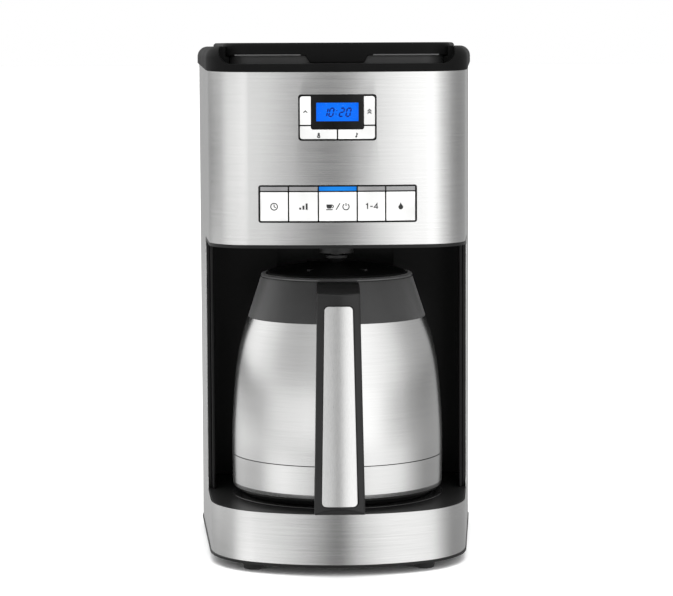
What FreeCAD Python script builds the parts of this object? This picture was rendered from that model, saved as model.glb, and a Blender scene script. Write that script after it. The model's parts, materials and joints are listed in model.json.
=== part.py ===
import FreeCAD, Part
import math
import os

# Drip coffee maker with a thermal carafe.
# Millimetres. +X is the maker's right-hand side as a person faces it, +Y goes from the front to the
# back, +Z is up. The origin is on the table, under the middle of the overall box.

V = FreeCAD.Vector
UP = V(0, 0, 1)
BACKWARD = V(0, 1, 0)
ACROSS = V(1, 0, 0)

# ---------------------------------------------------------------- driving dimensions: plan outlines
BASE_FRONT_Y = -101.0        # front of the base band, on the centre line
HEAD_FRONT_Y = -87.5         # front of the head, on the centre line
BACK_Y = 124.8               # flat back of the rear housing
SIDE_X = 91.2                # half width of the body ...
SIDE_Y = -16.0               # ... measured at this depth
SIDE_SPLAY = math.radians(4.5)   # the sides open out towards the back
BASE_FRONT_R = 130.0
BASE_CORNER_R = 58.0
HEAD_FRONT_R = 450.0
HEAD_CORNER_R = 33.0
REAR_CORNER_R = 32.0

# ---------------------------------------------------------------- driving dimensions: heights
FOOT_TOP_Z = 5.9
BAND_Z0 = 7.6                # steel band round the base
BAND_Z1 = 42.4
DECK_Z = 42.6                # black deck inside the band
PLATFORM_Z = 43.5            # round platform under the carafe
LIP_Z = 222.1                # black lip under the head
HEAD_STEEL_Z = 224.3
HEAD_TOP_Z = 340.8           # top edge of the steel at the front centre
HEAD_TOP_SLOPE = 0.027       # the top edge climbs towards the back
SCOOP_Z = 346.2
LID_EDGE_Z = 351.6
COLLAR_Z = 358.0
LID_TOP_Z = 360.4

# ---------------------------------------------------------------- driving dimensions: walls and gaps
STEEL = 0.8
SKIN_BACK = 1.0              # outside of the plastic walls that back the steel
WALL_BACK = 3.2              # inside of those walls
STEEL_END_Y = 91.0           # the steel stops here and the rear housing takes over
WINDOW_Y = 8.0               # the open bay is cut back to here in the sides
WINDOW_R = 8.0
OVERHANG = 1.2               # the top collar stands out past the steel
RUNNING = 0.05               # radial clearance of a shaft in its hole
FAR = 400.0

# ---------------------------------------------------------------- driving dimensions: carafe
CARAFE_Y = -8.0              # the carafe's axis, which the basket shares
CARAFE_FOOT_Z = 43.85
CUP_FOOT_Z = 47.0
CUP_TOP_Z = 71.6
SHELL_Z = 72.2
COLLAR_FOOT_Z = 168.5
CARAFE_RIM_Z = 198.3
RIM_R = 52.8
MOUTH_R = 48.0
VESSEL_SHEET = 0.8
# outside radius of the steel shell at five heights
SHELL_OUTLINE = [(74.6, SHELL_Z), (74.5, 87.0), (73.5, 108.0), (69.5, 144.0), (62.7, COLLAR_FOOT_Z)]
LINER_OUTLINE = [(68.0, 62.0), (69.6, 87.0), (68.6, 108.0), (64.2, 144.0), (56.0, 172.0), (49.4, 186.0)]

HANDLE_TOP_Y = -108.0        # outer face of the grip at HANDLE_Z1 ...
HANDLE_FOOT_Y = -126.5       # ... and at HANDLE_Z0
HANDLE_Z0 = 46.0
HANDLE_Z1 = 195.5
GRIP_DEPTH = 13.0
GRIP_TOP_X = 14.4            # half widths of the grip
GRIP_FOOT_X = 17.1
GRIP_CROWN_R = 40.0

# ---------------------------------------------------------------- driving dimensions: basket and valve
HOLDER_R = 61.0
HOLDER_WALL = 2.2
HOLDER_Z0 = 226.0
HOLDER_Z1 = 330.0
BASKET_TOP_R = 56.8
BASKET_FOOT_R = 36.0
BASKET_Z0 = 238.0
BASKET_Z1 = 327.0
VALVE_TIP_Z = 206.9
SPOUT_R = 12.0

# ---------------------------------------------------------------- driving dimensions: lid
LID_INSET = 10.6
LID_REAR_Y = 100.0
HINGE_Y = 110.0
HINGE_Z = 353.0
HINGE_PIN_R = 2.0
LUG_X = 60.0
LUG_WIDTH = 12.0

# ---------------------------------------------------------------- driving dimensions: front panels
BUTTON_PROUD = 0.7           # button faces stand this far out of the steel
FRAME_PROUD = 0.3
CAP_BACK = 2.2
PLATE = (3.5, 5.0)           # back plate of each panel frame, as insets from the steel's face
STEM_END_Y = HEAD_FRONT_Y + 5.4
SWITCH_Y = STEM_END_Y + 1.1
BOARD_Y = HEAD_FRONT_Y + 10.0
STEM_R = 1.6
GAP = 0.9                    # dark gap between neighbouring buttons
PANEL_X = 53.4
PANEL_Z0 = 239.7
PANEL_Z1 = 264.7
CAP_Z0 = 240.7
CAP_Z1 = 260.2
LENS_Z0 = 261.0
LENS_Z1 = 263.8
DIVIDERS = (-52.65, -33.2, -13.1, 13.1, 32.3, 52.65)
MAIN_BUTTONS = ("button_program", "button_bold", "button_brew", "button_small_batch", "button_clean")
CLOCK_X = 26.2
CLOCK_Z0 = 294.9
CLOCK_Z1 = 325.6
BEZEL_X = 17.4
BEZEL_Z0 = 302.7
DISPLAY_X = 14.2
DISPLAY_Z0 = 307.8
DISPLAY_Z1 = 320.2


# ================================================================ shape helpers
def box(x0, x1, y0, y1, z0, z1):
    return Part.makeBox(x1 - x0, y1 - y0, z1 - z0, V(x0, y0, z0))


def rod(radius, start, direction, length):
    return Part.makeCylinder(radius, length, start, direction)


def disc(radius, z0, z1, x=0.0, y=CARAFE_Y):
    return rod(radius, V(x, y, z0), UP, z1 - z0)


def ring(outer, inner, z0, z1, x=0.0, y=CARAFE_Y):
    return disc(outer, z0, z1, x, y).cut(disc(inner, z0 - 1, z1 + 1, x, y))


def polygon(points):
    return Part.Face(Part.makePolygon(points + [points[0]]))


def side_slab(outline, half_width):
    """Extrudes a closed outline of (y, z) points across the machine."""
    face = polygon([V(-half_width, y, z) for y, z in outline])
    return face.extrude(ACROSS * (2 * half_width))


def turned(profile, y=CARAFE_Y):
    """A solid of revolution from (radius, z) points, about the vertical line at y."""
    face = polygon([V(radius, y, z) for radius, z in profile])
    return face.revolve(V(0, y, 0), UP, 360)


def turned_curve(curve, closing, y=CARAFE_Y):
    """The same, with a smooth curve through one list of points and straight edges through the other."""
    smooth = Part.BSplineCurve()
    smooth.interpolate([V(radius, y, z) for radius, z in curve])
    corners = [V(radius, y, z) for radius, z in [curve[-1]] + closing + [curve[0]]]
    edges = [smooth.toShape()]
    for start, end in zip(corners, corners[1:]):
        edges.append(Part.makeLine(start, end))
    return Part.Face(Part.Wire(edges)).revolve(V(0, y, 0), UP, 360)


def fused(shapes):
    result = shapes[0]
    for shape in shapes[1:]:
        result = result.fuse(shape)
    return result.removeSplitter()


def mirrored(shape):
    return shape.mirror(V(0, 0, 0), ACROSS)


def rounded_edges(shape, radius, wanted):
    """Rounds the edges whose middle point passes the test."""
    edges = [edge for edge in shape.Edges if wanted(edge.CenterOfMass)]
    return shape.makeFillet(radius, edges)


def rounded_plate(x0, x1, z0, z1, y0, y1, radius):
    """A plate standing across the machine, with its four corners rounded."""
    plate = box(x0, x1, y0, y1, z0, z1)
    corners = [edge for edge in plate.Edges
               if edge.tangentAt(edge.FirstParameter).cross(BACKWARD).Length < 0.01]
    return plate.makeFillet(radius, corners)


def hose(points, bend_radius, outer, inner):
    """A tube along straight runs that are joined by arcs."""
    edges = []
    start = points[0]
    for previous, corner, following in zip(points, points[1:], points[2:]):
        into = (corner - previous).normalize()
        out = (following - corner).normalize()
        half_turn = into.getAngle(out) / 2
        setback = bend_radius * math.tan(half_turn)
        arc_start = corner - into * setback
        arc_end = corner + out * setback
        bisector = (out - into).normalize()
        middle = corner + bisector * (bend_radius / math.cos(half_turn) - bend_radius)
        edges.append(Part.makeLine(start, arc_start))
        edges.append(Part.Arc(arc_start, middle, arc_end).toShape())
        start = arc_end
    edges.append(Part.makeLine(start, points[-1]))
    path = Part.Wire(edges)
    direction = (points[1] - points[0]).normalize()
    sections = [Part.Wire(Part.makeCircle(radius, points[0], direction)) for radius in (outer, inner)]
    solids = [path.makePipeShell([section], True, True) for section in sections]
    return solids[0].cut(solids[1])


# ================================================================ the body's plan outline
class Plan:
    """A rounded outline, narrower at the front, that can be drawn at any inset from its face."""

    def __init__(self, front_y, front_r, corner_r):
        self.front_y = front_y
        self.front_r = front_r
        self.corner_r = corner_r
        self.normal = V(math.cos(SIDE_SPLAY), -math.sin(SIDE_SPLAY), 0)
        along = V(math.sin(SIDE_SPLAY), math.cos(SIDE_SPLAY), 0)
        self.front_centre = V(0, front_y + front_r, 0)
        start = V(SIDE_X, SIDE_Y, 0) - self.normal * corner_r
        offset = start - self.front_centre
        half = offset.dot(along)
        reach = math.sqrt(half * half - offset.dot(offset) + (front_r - corner_r) ** 2)
        self.corner = start - along * (half + reach)
        rear_y = BACK_Y - REAR_CORNER_R
        rear_x = SIDE_X + ((rear_y - SIDE_Y) * math.sin(SIDE_SPLAY) - REAR_CORNER_R) / math.cos(SIDE_SPLAY)
        self.rear = V(rear_x, rear_y, 0)

    def half_points(self, inset):
        """The right-hand half of the outline, from the front centre to the back centre."""
        toward = (self.corner - self.front_centre).normalize()
        front_end = self.front_centre + toward * (self.front_r - inset)
        halfway = (self.front_centre + V(0, -1, 0) * self.front_r - self.front_centre).normalize()
        front_mid = self.front_centre + (toward + halfway).normalize() * (self.front_r - inset)
        corner_mid = self.corner + (toward + self.normal).normalize() * (self.corner_r - inset)
        corner_end = self.corner + self.normal * (self.corner_r - inset)
        rear_start = self.rear + self.normal * (REAR_CORNER_R - inset)
        rear_mid = self.rear + (self.normal + BACKWARD).normalize() * (REAR_CORNER_R - inset)
        rear_end = self.rear + BACKWARD * (REAR_CORNER_R - inset)
        front = V(0, self.front_y + inset, 0)
        return front, front_mid, front_end, corner_mid, corner_end, rear_start, rear_mid, rear_end

    def wire(self, inset):
        points = self.half_points(inset)
        front, front_mid, front_end, corner_mid, corner_end, rear_start, rear_mid, rear_end = points
        right = [Part.Arc(front, front_mid, front_end).toShape(),
                 Part.Arc(front_end, corner_mid, corner_end).toShape(),
                 Part.makeLine(corner_end, rear_start),
                 Part.Arc(rear_start, rear_mid, rear_end).toShape(),
                 Part.makeLine(rear_end, V(0, rear_end.y, 0))]
        left = [mirrored(edge) for edge in right]
        return Part.Wire(Part.__sortEdges__(right + left))

    def block(self, inset, z0, z1):
        face = Part.Face(self.wire(inset))
        face.translate(UP * z0)
        return face.extrude(UP * (z1 - z0))

    def skin(self, inset_out, inset_in, z0, z1):
        return self.block(inset_out, z0, z1).cut(self.block(inset_in, z0 - 1, z1 + 1))


BASE = Plan(BASE_FRONT_Y, BASE_FRONT_R, BASE_CORNER_R)
HEAD = Plan(HEAD_FRONT_Y, HEAD_FRONT_R, HEAD_CORNER_R)


def front_of(y):
    return box(-FAR, FAR, -FAR, y, -FAR, FAR)


def behind(y):
    return box(-FAR, FAR, y, FAR, -FAR, FAR)


def over_slope(gap=0.0):
    """Everything above the sloping top edge of the head, raised by a gap."""
    rise = HEAD_TOP_SLOPE * FAR
    level = HEAD_TOP_Z + gap
    outline = [(HEAD_FRONT_Y - FAR, level - rise), (HEAD_FRONT_Y + FAR, level + rise)]
    return side_slab(outline + [(HEAD_FRONT_Y + FAR, 2 * FAR), (HEAD_FRONT_Y - FAR, 2 * FAR)], FAR)


def front_slab(x0, x1, z0, z1, inset_out, inset_in):
    """A block that follows the head's curved front between two insets."""
    return HEAD.skin(inset_out, inset_in, z0, z1).common(box(x0, x1, -FAR, -50.0, z0, z1))


def panel_windows(margin):
    """The two cut-outs in the head's front, for the buttons and the clock."""
    return [rounded_plate(-PANEL_X - margin, PANEL_X + margin, PANEL_Z0 - margin, PANEL_Z1 + margin,
                          -FAR, -60, 1.6),
            rounded_plate(-CLOCK_X - margin, CLOCK_X + margin, CLOCK_Z0 - margin, CLOCK_Z1 + margin,
                          -FAR, -60, 2.0)]


# ================================================================ outer shell
def steel_wrap():
    head = HEAD.skin(0, STEEL, HEAD_STEEL_Z, LID_TOP_Z).cut(over_slope())
    band = BASE.skin(0, STEEL, BAND_Z0, BAND_Z1)
    sides = HEAD.skin(0, STEEL, BAND_Z1, HEAD_STEEL_Z).common(behind(WINDOW_Y - WINDOW_R))
    bay = rounded_side_window()
    sheet = fused([head, band, sides.cut(bay)])
    sheet = sheet.common(front_of(STEEL_END_Y))
    for window in panel_windows(0.1):
        sheet = sheet.cut(window)
    return sheet


def rounded_side_window():
    """The bay's opening as the sides show it, with round corners at the back."""
    window = box(-FAR, FAR, -FAR, WINDOW_Y, BAND_Z1, HEAD_STEEL_Z)
    return rounded_edges(window, WINDOW_R, lambda p: abs(p.y - WINDOW_Y) < 0.1 and abs(p.x) < 0.1)


def head_housing():
    wall = HEAD.skin(SKIN_BACK, WALL_BACK, LIP_Z, LID_TOP_Z).cut(over_slope())
    lip = HEAD.skin(0, WALL_BACK, LIP_Z, HEAD_STEEL_Z).common(front_of(WINDOW_Y - WINDOW_R))
    housing = fused([wall, lip]).common(front_of(WINDOW_Y))
    for window in panel_windows(0.0):
        housing = housing.cut(window)
    return housing


def rear_housing():
    wall = HEAD.skin(SKIN_BACK, WALL_BACK, BAND_Z0, LID_TOP_Z).common(behind(WINDOW_Y + 0.1))
    back = HEAD.skin(0, WALL_BACK, BAND_Z0, LID_TOP_Z).common(behind(STEEL_END_Y + 0.2))
    housing = fused([wall, back]).cut(over_slope())
    housing = housing.cut(rounded_plate(47.0, 57.0, 90.0, 300.0, BACK_Y - 6, BACK_Y + 6, 4.5))
    housing = housing.cut(rod(7.0, V(60, BACK_Y - 10, 24), BACKWARD, 20))
    for z in range(60, 84, 6):
        housing = housing.cut(rounded_plate(-30, 30, z, z + 2.4, BACK_Y - 6, BACK_Y + 6, 1.1))
    return housing


def level_window():
    return rounded_plate(47.05, 56.95, 90.05, 299.95, BACK_Y - WALL_BACK, BACK_Y, 4.45)


def base_housing():
    wall = BASE.skin(SKIN_BACK, WALL_BACK, BAND_Z0, DECK_Z - 0.5).common(front_of(WINDOW_Y))
    front_deck = BASE.block(SKIN_BACK, DECK_Z - 2.4, DECK_Z).common(front_of(WINDOW_Y))
    rear_deck = HEAD.block(WALL_BACK + 0.2, DECK_Z - 2.4, DECK_Z)
    rear_deck = rear_deck.common(behind(WINDOW_Y - 1)).common(front_of(79.5))
    housing = fused([wall, front_deck, rear_deck])
    housing = housing.cut(disc(RISER_HOLE_R, DECK_Z - 5, DECK_Z + 5, RISER_X, RISER_Y))
    housing = housing.cut(ribbon_slot(DECK_Z))
    return housing.cut(disc(68.0, DECK_Z - 5, DECK_Z + 5))


def ribbon_slot(z):
    """The slot that lets the flat cable through a deck at this height."""
    return box(RIBBON_X0 - 1, RIBBON_X1 + 1, RIBBON_Y - 1.5, RIBBON_Y + 2.5, z - 5, z + 5)


def base_pan():
    pan = BASE.block(-0.6, FOOT_TOP_Z, BAND_Z0)
    for x, y in FOOT_PLACES:
        pan = pan.cut(disc(3.0, 0, 20, x, y))
    for x, y in SCREW_PLACES:
        pan = pan.cut(disc(2.0, 0, 20, x, y))
    for x in range(-42, 43, 12):
        slot = rounded_slot(x, 62.0, 4.0, 36.0)
        pan = pan.cut(slot)
    posts = []
    for x, y in BOARD_POSTS:
        posts.append(ring(3.2, 1.2, FOOT_TOP_Z + 1.0, POWER_BOARD_Z, x, y))
    return fused([pan] + posts)


def rounded_slot(x, y, width, length):
    """A round-ended vent slot through the base pan."""
    reach = (length - width) / 2
    middle = box(x - width / 2, x + width / 2, y - reach, y + reach, 0, 20)
    ends = [disc(width / 2, 0, 20, x, y + side * reach) for side in (-1, 1)]
    return fused([middle] + ends)


FOOT_PLACES = [(-59.0, -71.0), (59.0, -71.0), (-75.0, 95.0), (75.0, 95.0)]
SCREW_PLACES = [(-70.0, -45.0), (70.0, -45.0), (-82.0, 60.0), (82.0, 60.0)]
BOARD_POSTS = [(-29.0, 5.0), (29.0, 5.0), (-29.0, 35.0), (29.0, 35.0)]
POWER_BOARD_Z = 13.0


def feet():
    profile = [(0, 0), (6.0, 0), (6.8, 0.8), (7.6, FOOT_TOP_Z), (2.95, FOOT_TOP_Z), (2.95, 10.0), (0, 10.0)]
    foot = turned(profile, 0.0)
    return Part.makeCompound([foot.translated(V(x, y, 0)) for x, y in FOOT_PLACES])


def screw(head_r, shank_r, head_height, length):
    """A pan-head screw on the Z axis, its head's underside at zero and its shank going up."""
    head = Part.makeCylinder(head_r, head_height, V(0, 0, -head_height))
    cross = box(-0.5, 0.5, -head_r * 0.6, head_r * 0.6, -head_height, -head_height * 0.4)
    cross = cross.fuse(box(-head_r * 0.6, head_r * 0.6, -0.5, 0.5, -head_height, -head_height * 0.4))
    return head.cut(cross).fuse(Part.makeCylinder(shank_r, length)).removeSplitter()


def base_screws():
    one = screw(3.6, 1.9, 2.0, 14.0)
    return Part.makeCompound([one.translated(V(x, y, FOOT_TOP_Z)) for x, y in SCREW_PLACES])


# ================================================================ the bay for the carafe
LINER_OUT = 3.4
LINER_IN = 5.6
LINER_FRONT_Y = 3.0
LINER_REAR_Y = 64.0
LINER_WALL = 2.4
ALCOVE_R = 84.0


def bay_liner():
    z0 = DECK_Z + 0.1
    z1 = LIP_Z - 0.1
    outer = HEAD.block(LINER_OUT, z0, z1)
    outer = outer.common(behind(LINER_FRONT_Y)).common(front_of(LINER_REAR_Y + LINER_WALL))
    alcove_outer = disc(ALCOVE_R + LINER_WALL, z0, z1).common(behind(0))
    inner = HEAD.block(LINER_IN, z0 - 1, z1 + 1).common(front_of(LINER_REAR_Y))
    alcove_inner = disc(ALCOVE_R, z0 - 1, z1 + 1).common(behind(0))
    liner = outer.fuse(alcove_outer).cut(inner).cut(alcove_inner).removeSplitter()
    middle_z = (z0 + z1) / 2
    return rounded_edges(liner, 1.0, lambda p: abs(p.y - LINER_FRONT_Y) < 0.3 and abs(p.z - middle_z) < 1)


def carafe_platform():
    profile = [(0, 40.5), (67.9, 40.5), (67.9, DECK_Z), (74.4, DECK_Z), (75.0, DECK_Z + 0.4),
               (74.6, PLATFORM_Z), (52.0, PLATFORM_Z), (51.0, PLATFORM_Z - 0.8), (0, PLATFORM_Z - 0.8)]
    return turned(profile)


def head_floor():
    plate = HEAD.block(WALL_BACK + 0.1, LIP_Z, HEAD_STEEL_Z).common(front_of(79.5))
    plate = plate.cut(disc(SPOUT_R + 4.0, LIP_Z - 5, LIP_Z + 9))
    plate = plate.cut(disc(RISER_HOLE_R, LIP_Z - 5, LIP_Z + 9, RISER_X, RISER_Y))
    return plate.cut(ribbon_slot(LIP_Z))


# ================================================================ top collar and lid
OPENING_INSET = 12.4
SCOOP_X = 79.5
DECK_EDGE_Y = LID_REAR_Y + 3.2
LUG_R = 4.5


def top_collar():
    collar = HEAD.block(-OVERHANG, HEAD_TOP_Z - 8, COLLAR_Z)
    collar = rounded_edges(collar, 7.4, lambda p: p.z > COLLAR_Z - 0.1)
    below = box(-FAR, FAR, -FAR, FAR, -FAR, FAR).cut(over_slope(0.1))
    collar = collar.cut(below)
    skirt = HEAD.skin(WALL_BACK + 0.2, 5.4, 335.0, COLLAR_Z - 9)
    collar = collar.fuse(skirt).removeSplitter()
    collar = collar.cut(HEAD.block(OPENING_INSET, 300, FAR).common(front_of(DECK_EDGE_Y)))
    collar = collar.cut(HEAD.block(LID_INSET - 0.4, LID_EDGE_Z - 0.4, FAR).common(front_of(DECK_EDGE_Y)))
    collar = collar.cut(rounded_plate(-SCOOP_X, SCOOP_X, SCOOP_Z, FAR, -FAR, -62.0, 8.0))
    for side in (-1, 1):
        x = side * LUG_X
        half = LUG_WIDTH / 2 + 0.6
        slot = box(x - half, x + half, DECK_EDGE_Y - 4, HINGE_Y + 6, HINGE_Z - 5.2, FAR)
        collar = collar.cut(slot)
        collar = collar.cut(rod(HINGE_PIN_R, V(x - PIN_LENGTH / 2, HINGE_Y, HINGE_Z), ACROSS, PIN_LENGTH))
    return collar


PIN_LENGTH = 20.0


def lid_hinge_pins():
    pins = [rod(HINGE_PIN_R, V(side * LUG_X - PIN_LENGTH / 2, HINGE_Y, HINGE_Z), ACROSS, PIN_LENGTH)
            for side in (-1, 1)]
    return Part.makeCompound(pins)


def lid_lug(x):
    """One hinge lug behind the lid, bored for its pin."""
    knuckle = rod(LUG_R, V(x - LUG_WIDTH / 2, HINGE_Y, HINGE_Z), ACROSS, LUG_WIDTH)
    half = LUG_WIDTH / 2
    arm = box(x - half, x + half, LID_REAR_Y - 2, HINGE_Y, LID_EDGE_Z + 0.4, HINGE_Z + LUG_R)
    bore = rod(HINGE_PIN_R + RUNNING, V(x - LUG_WIDTH, HINGE_Y, HINGE_Z), ACROSS, 2 * LUG_WIDTH)
    return knuckle.fuse(arm).cut(bore)


TAB_TOP_X = 22.2
TAB_FOOT_X = 18.4


def lid_cover():
    cover = HEAD.block(LID_INSET, LID_EDGE_Z, LID_TOP_Z).common(front_of(LID_REAR_Y))
    cover = rounded_edges(cover, 2.2, lambda p: p.z > LID_TOP_Z - 0.1)
    hollow = HEAD.block(LID_INSET + 2.2, LID_EDGE_Z - 1, LID_TOP_Z - 2.4).common(front_of(LID_REAR_Y - 2.2))
    cover = cover.cut(hollow)
    face_y = HEAD_FRONT_Y + LID_INSET
    tab_outline = [V(-TAB_TOP_X, face_y, LID_EDGE_Z + 2), V(TAB_TOP_X, face_y, LID_EDGE_Z + 2),
                   V(TAB_FOOT_X, face_y, SCOOP_Z + 0.6), V(-TAB_FOOT_X, face_y, SCOOP_Z + 0.6)]
    tab = polygon(tab_outline).extrude(BACKWARD * 2.2)
    tab = tab.common(HEAD.block(LID_INSET, 300, FAR))
    return fused([cover, tab] + [lid_lug(side * LUG_X) for side in (-1, 1)])


PANEL_INSET = 13.2
PANEL_FOOT_Z = 345.0


def lid_inner_panel():
    rim = HEAD.block(PANEL_INSET, PANEL_FOOT_Z, LID_TOP_Z - 2.4).common(front_of(LID_REAR_Y - 2.4))
    hollow = HEAD.block(PANEL_INSET + 1.6, PANEL_FOOT_Z + 1.6, FAR).common(front_of(LID_REAR_Y - 4.0))
    port = disc(5.0, 300, PANEL_FOOT_Z + 4, RISER_X, RISER_Y)
    return rim.cut(hollow).cut(port)


def lid_port_seal():
    """The ring that closes on the hot-water outlet when the lid is shut."""
    return ring(8.0, 5.0, PANEL_FOOT_Z - 1.0, PANEL_FOOT_Z, RISER_X, RISER_Y)


ROSE_Z = 333.5


def shower_head():
    rose = turned([(0, ROSE_Z), (43, ROSE_Z), (44, ROSE_Z + 1), (44, ROSE_Z + 7), (42.4, ROSE_Z + 7),
                   (42.4, ROSE_Z + 1.8), (0, ROSE_Z + 1.8)])
    neck = ring(14.0, 11.0, ROSE_Z + 1.8, PANEL_FOOT_Z)
    for count, radius in ((6, 18.0), (12, 34.0)):
        for index in range(count):
            angle = 2 * math.pi * index / count
            centre = V(radius * math.cos(angle), CARAFE_Y + radius * math.sin(angle), 0)
            hole = disc(1.3, ROSE_Z - 1, ROSE_Z + 3, centre.x, centre.y)
            rose = rose.cut(hole)
    return fused([rose, neck])


# ================================================================ water path
RISER_X = 50.0
RISER_Y = 73.0
RISER_HOLE_R = 6.3
HEATER_X = 50.0
HEATER_REAR_Y = 50.0
HEATER_TUBE_Z = 32.0
TANK_Y0 = 80.5
TANK_WALL = 2.0
TANK_INSET = 4.2
TANK_Z0 = 50.0
TANK_Z1 = 334.0


def water_reservoir():
    outer = HEAD.block(TANK_INSET, TANK_Z0, TANK_Z1).common(behind(TANK_Y0))
    inner = HEAD.block(TANK_INSET + TANK_WALL, TANK_Z0 + 2.4, TANK_Z1 + 5)
    inner = inner.common(behind(TANK_Y0 + TANK_WALL))
    nipple = disc(5.0, TANK_Z0 - 6, TANK_Z0 + 1, -RISER_X, 100.0)
    tank = outer.cut(inner).fuse(nipple).removeSplitter()
    return tank.cut(disc(3.0, TANK_Z0 - 10, TANK_Z0 + 5, -RISER_X, 100.0))


def water_filter_holder():
    cage = ring(13.0, 11.4, TANK_Z0 + 2.4, 92.0, 38.0, 100.0).fuse(disc(13.0, 92.0, 93.6, 38.0, 100.0))
    for index in range(4):
        slot = box(-20, 20, -1.5, 1.5, 60, 86)
        slot.rotate(V(0, 0, 0), UP, 45 * index)
        cage = cage.cut(slot.translated(V(38.0, 100.0, 0)))
    return cage.removeSplitter()


def horseshoe(section_points):
    """Carries a closed (x, z) section round the front of the base and back along both legs."""
    face = polygon([V(x, CARAFE_Y, z) for x, z in section_points])
    return horseshoe_face(face)


def horseshoe_face(face):
    bend = face.revolve(V(0, CARAFE_Y, 0), UP, -180)
    leg = face.extrude(BACKWARD * (HEATER_REAR_Y - CARAFE_Y))
    return fused([bend, leg, mirrored(leg)])


def heater_block():
    return horseshoe([(HEATER_X - 9, 17), (HEATER_X + 9, 17), (HEATER_X + 9, 27), (HEATER_X - 9, 27)])


def heater_tube():
    faces = []
    for radius in (5.0, 3.8):
        circle = Part.makeCircle(radius, V(HEATER_X, CARAFE_Y, HEATER_TUBE_Z), BACKWARD)
        faces.append(horseshoe_face(Part.Face(Part.Wire(circle))))
    return faces[0].cut(faces[1])


def thermal_cutouts():
    """The thermostat under the heater's front and the fuse clipped to its side."""
    body = disc(8.0, 12.5, 17.0, 0.0, CARAFE_Y - HEATER_X)
    tab_y = CARAFE_Y - HEATER_X
    tabs = [box(x - 1.5, x + 1.5, tab_y - 3, tab_y + 3, 9.6, 12.6) for x in (-4.0, 4.0)]
    barrel = rod(2.4, V(HEATER_X + 11.4, -6, 22), BACKWARD, 20)
    leads = rod(0.6, V(HEATER_X + 11.4, -14, 22), BACKWARD, 36)
    return Part.makeCompound([fused([body] + tabs), barrel.fuse(leads).removeSplitter()])


def check_valve():
    start = V(-HEATER_X, HEATER_REAR_Y, HEATER_TUBE_Z)
    body = rod(7.5, start, BACKWARD, 16).fuse(rod(5.0, start + BACKWARD * 16, BACKWARD, 6))
    return body.cut(rod(3.6, start - BACKWARD, BACKWARD, 30)).removeSplitter()


def inlet_hose():
    start = V(-HEATER_X, HEATER_REAR_Y + 17, HEATER_TUBE_Z)
    corner = V(-HEATER_X, 100.0, HEATER_TUBE_Z)
    end = V(-HEATER_X, 100.0, TANK_Z0 - 1)
    return hose([start, corner, end], 12.0, 7.0, 5.0)


def riser_hose():
    start = V(RISER_X, HEATER_REAR_Y, HEATER_TUBE_Z)
    corner = V(RISER_X, RISER_Y, HEATER_TUBE_Z)
    end = V(RISER_X, RISER_Y, HOLDER_Z1 + 2)
    return hose([start, corner, end], 9.0, 5.5, 3.8)


def outlet_spout():
    """The upright outlet that meets the seal in the lid."""
    flange = ring(7.0, 3.8, HOLDER_Z1 + 2, HOLDER_Z1 + 5, RISER_X, RISER_Y)
    pipe = ring(5.0, 3.8, HOLDER_Z1 + 5, PANEL_FOOT_Z - 1.5, RISER_X, RISER_Y)
    return fused([flange, pipe])


# ================================================================ basket and drip stop
def basket_holder():
    hollow = disc(HOLDER_R - HOLDER_WALL, HOLDER_Z0 + 2.6, HOLDER_Z1 + 5)
    cup = disc(HOLDER_R, HOLDER_Z0, HOLDER_Z1).cut(hollow)
    deck = HEAD.block(5.8, HOLDER_Z1 - 2, HOLDER_Z1).common(front_of(79.5))
    deck = deck.cut(disc(HOLDER_R - 1, 200, FAR))
    deck = deck.cut(disc(6.0, 200, FAR, RISER_X, RISER_Y))
    guide = disc(SPOUT_R, 213.0, HOLDER_Z0)
    holder = fused([cup, deck, guide])
    holder = holder.cut(disc(8.5, 212.0, HOLDER_Z0))
    return holder.cut(disc(6.0, HOLDER_Z0 - 1, HOLDER_Z0 + 5))


def filter_basket():
    wall = 1.8
    profile = [(0, BASKET_Z0), (BASKET_FOOT_R, BASKET_Z0), (BASKET_TOP_R - 4, BASKET_Z1 - 3),
               (BASKET_TOP_R, BASKET_Z1 - 3), (BASKET_TOP_R, BASKET_Z1), (BASKET_TOP_R - 5.4, BASKET_Z1),
               (BASKET_FOOT_R - wall, BASKET_Z0 + wall), (0, BASKET_Z0 + wall)]
    basket = turned(profile).cut(disc(6.0, BASKET_Z0 - 5, BASKET_Z0 + 5))
    ribs = []
    for index in range(12):
        rib = side_slab([(20, BASKET_Z0 + 1), (BASKET_FOOT_R - 1, BASKET_Z0 + 1),
                         (BASKET_TOP_R - 5.4, BASKET_Z1 - 8),
                         (BASKET_TOP_R - 7.4, BASKET_Z1 - 8), (BASKET_FOOT_R - 4, BASKET_Z0 + 3.4),
                         (20, BASKET_Z0 + 3.4)], 0.6)
        rib.rotate(V(0, 0, 0), UP, 30 * index)
        ribs.append(rib.translated(V(0, CARAFE_Y, 0)))
    return fused([basket] + ribs)


VALVE_DROP = 4.0
SPRING_Z0 = VALVE_TIP_Z + 5.0
SPRING_Z1 = HOLDER_Z0 - 0.2


def drip_valve():
    tip = turned([(0, VALVE_TIP_Z), (4.0, VALVE_TIP_Z), (7.6, VALVE_TIP_Z + 2.4), (7.6, VALVE_TIP_Z + 4.4),
                  (3.4, VALVE_TIP_Z + 4.4), (3.4, 233.0), (8.0, 233.0), (8.0, 235.0), (0, 235.0)])
    return tip


def valve_spring():
    turns = 5
    height = SPRING_Z1 - SPRING_Z0 - 1.2
    helix = Part.makeHelix(height / turns, height, 5.6)
    wire_end = Part.Wire(Part.makeCircle(0.5, V(5.6, 0, 0), BACKWARD))
    coil = Part.Wire(helix).makePipeShell([wire_end], True, True)
    return coil.translated(V(0, CARAFE_Y, SPRING_Z0 + 0.6))


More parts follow.
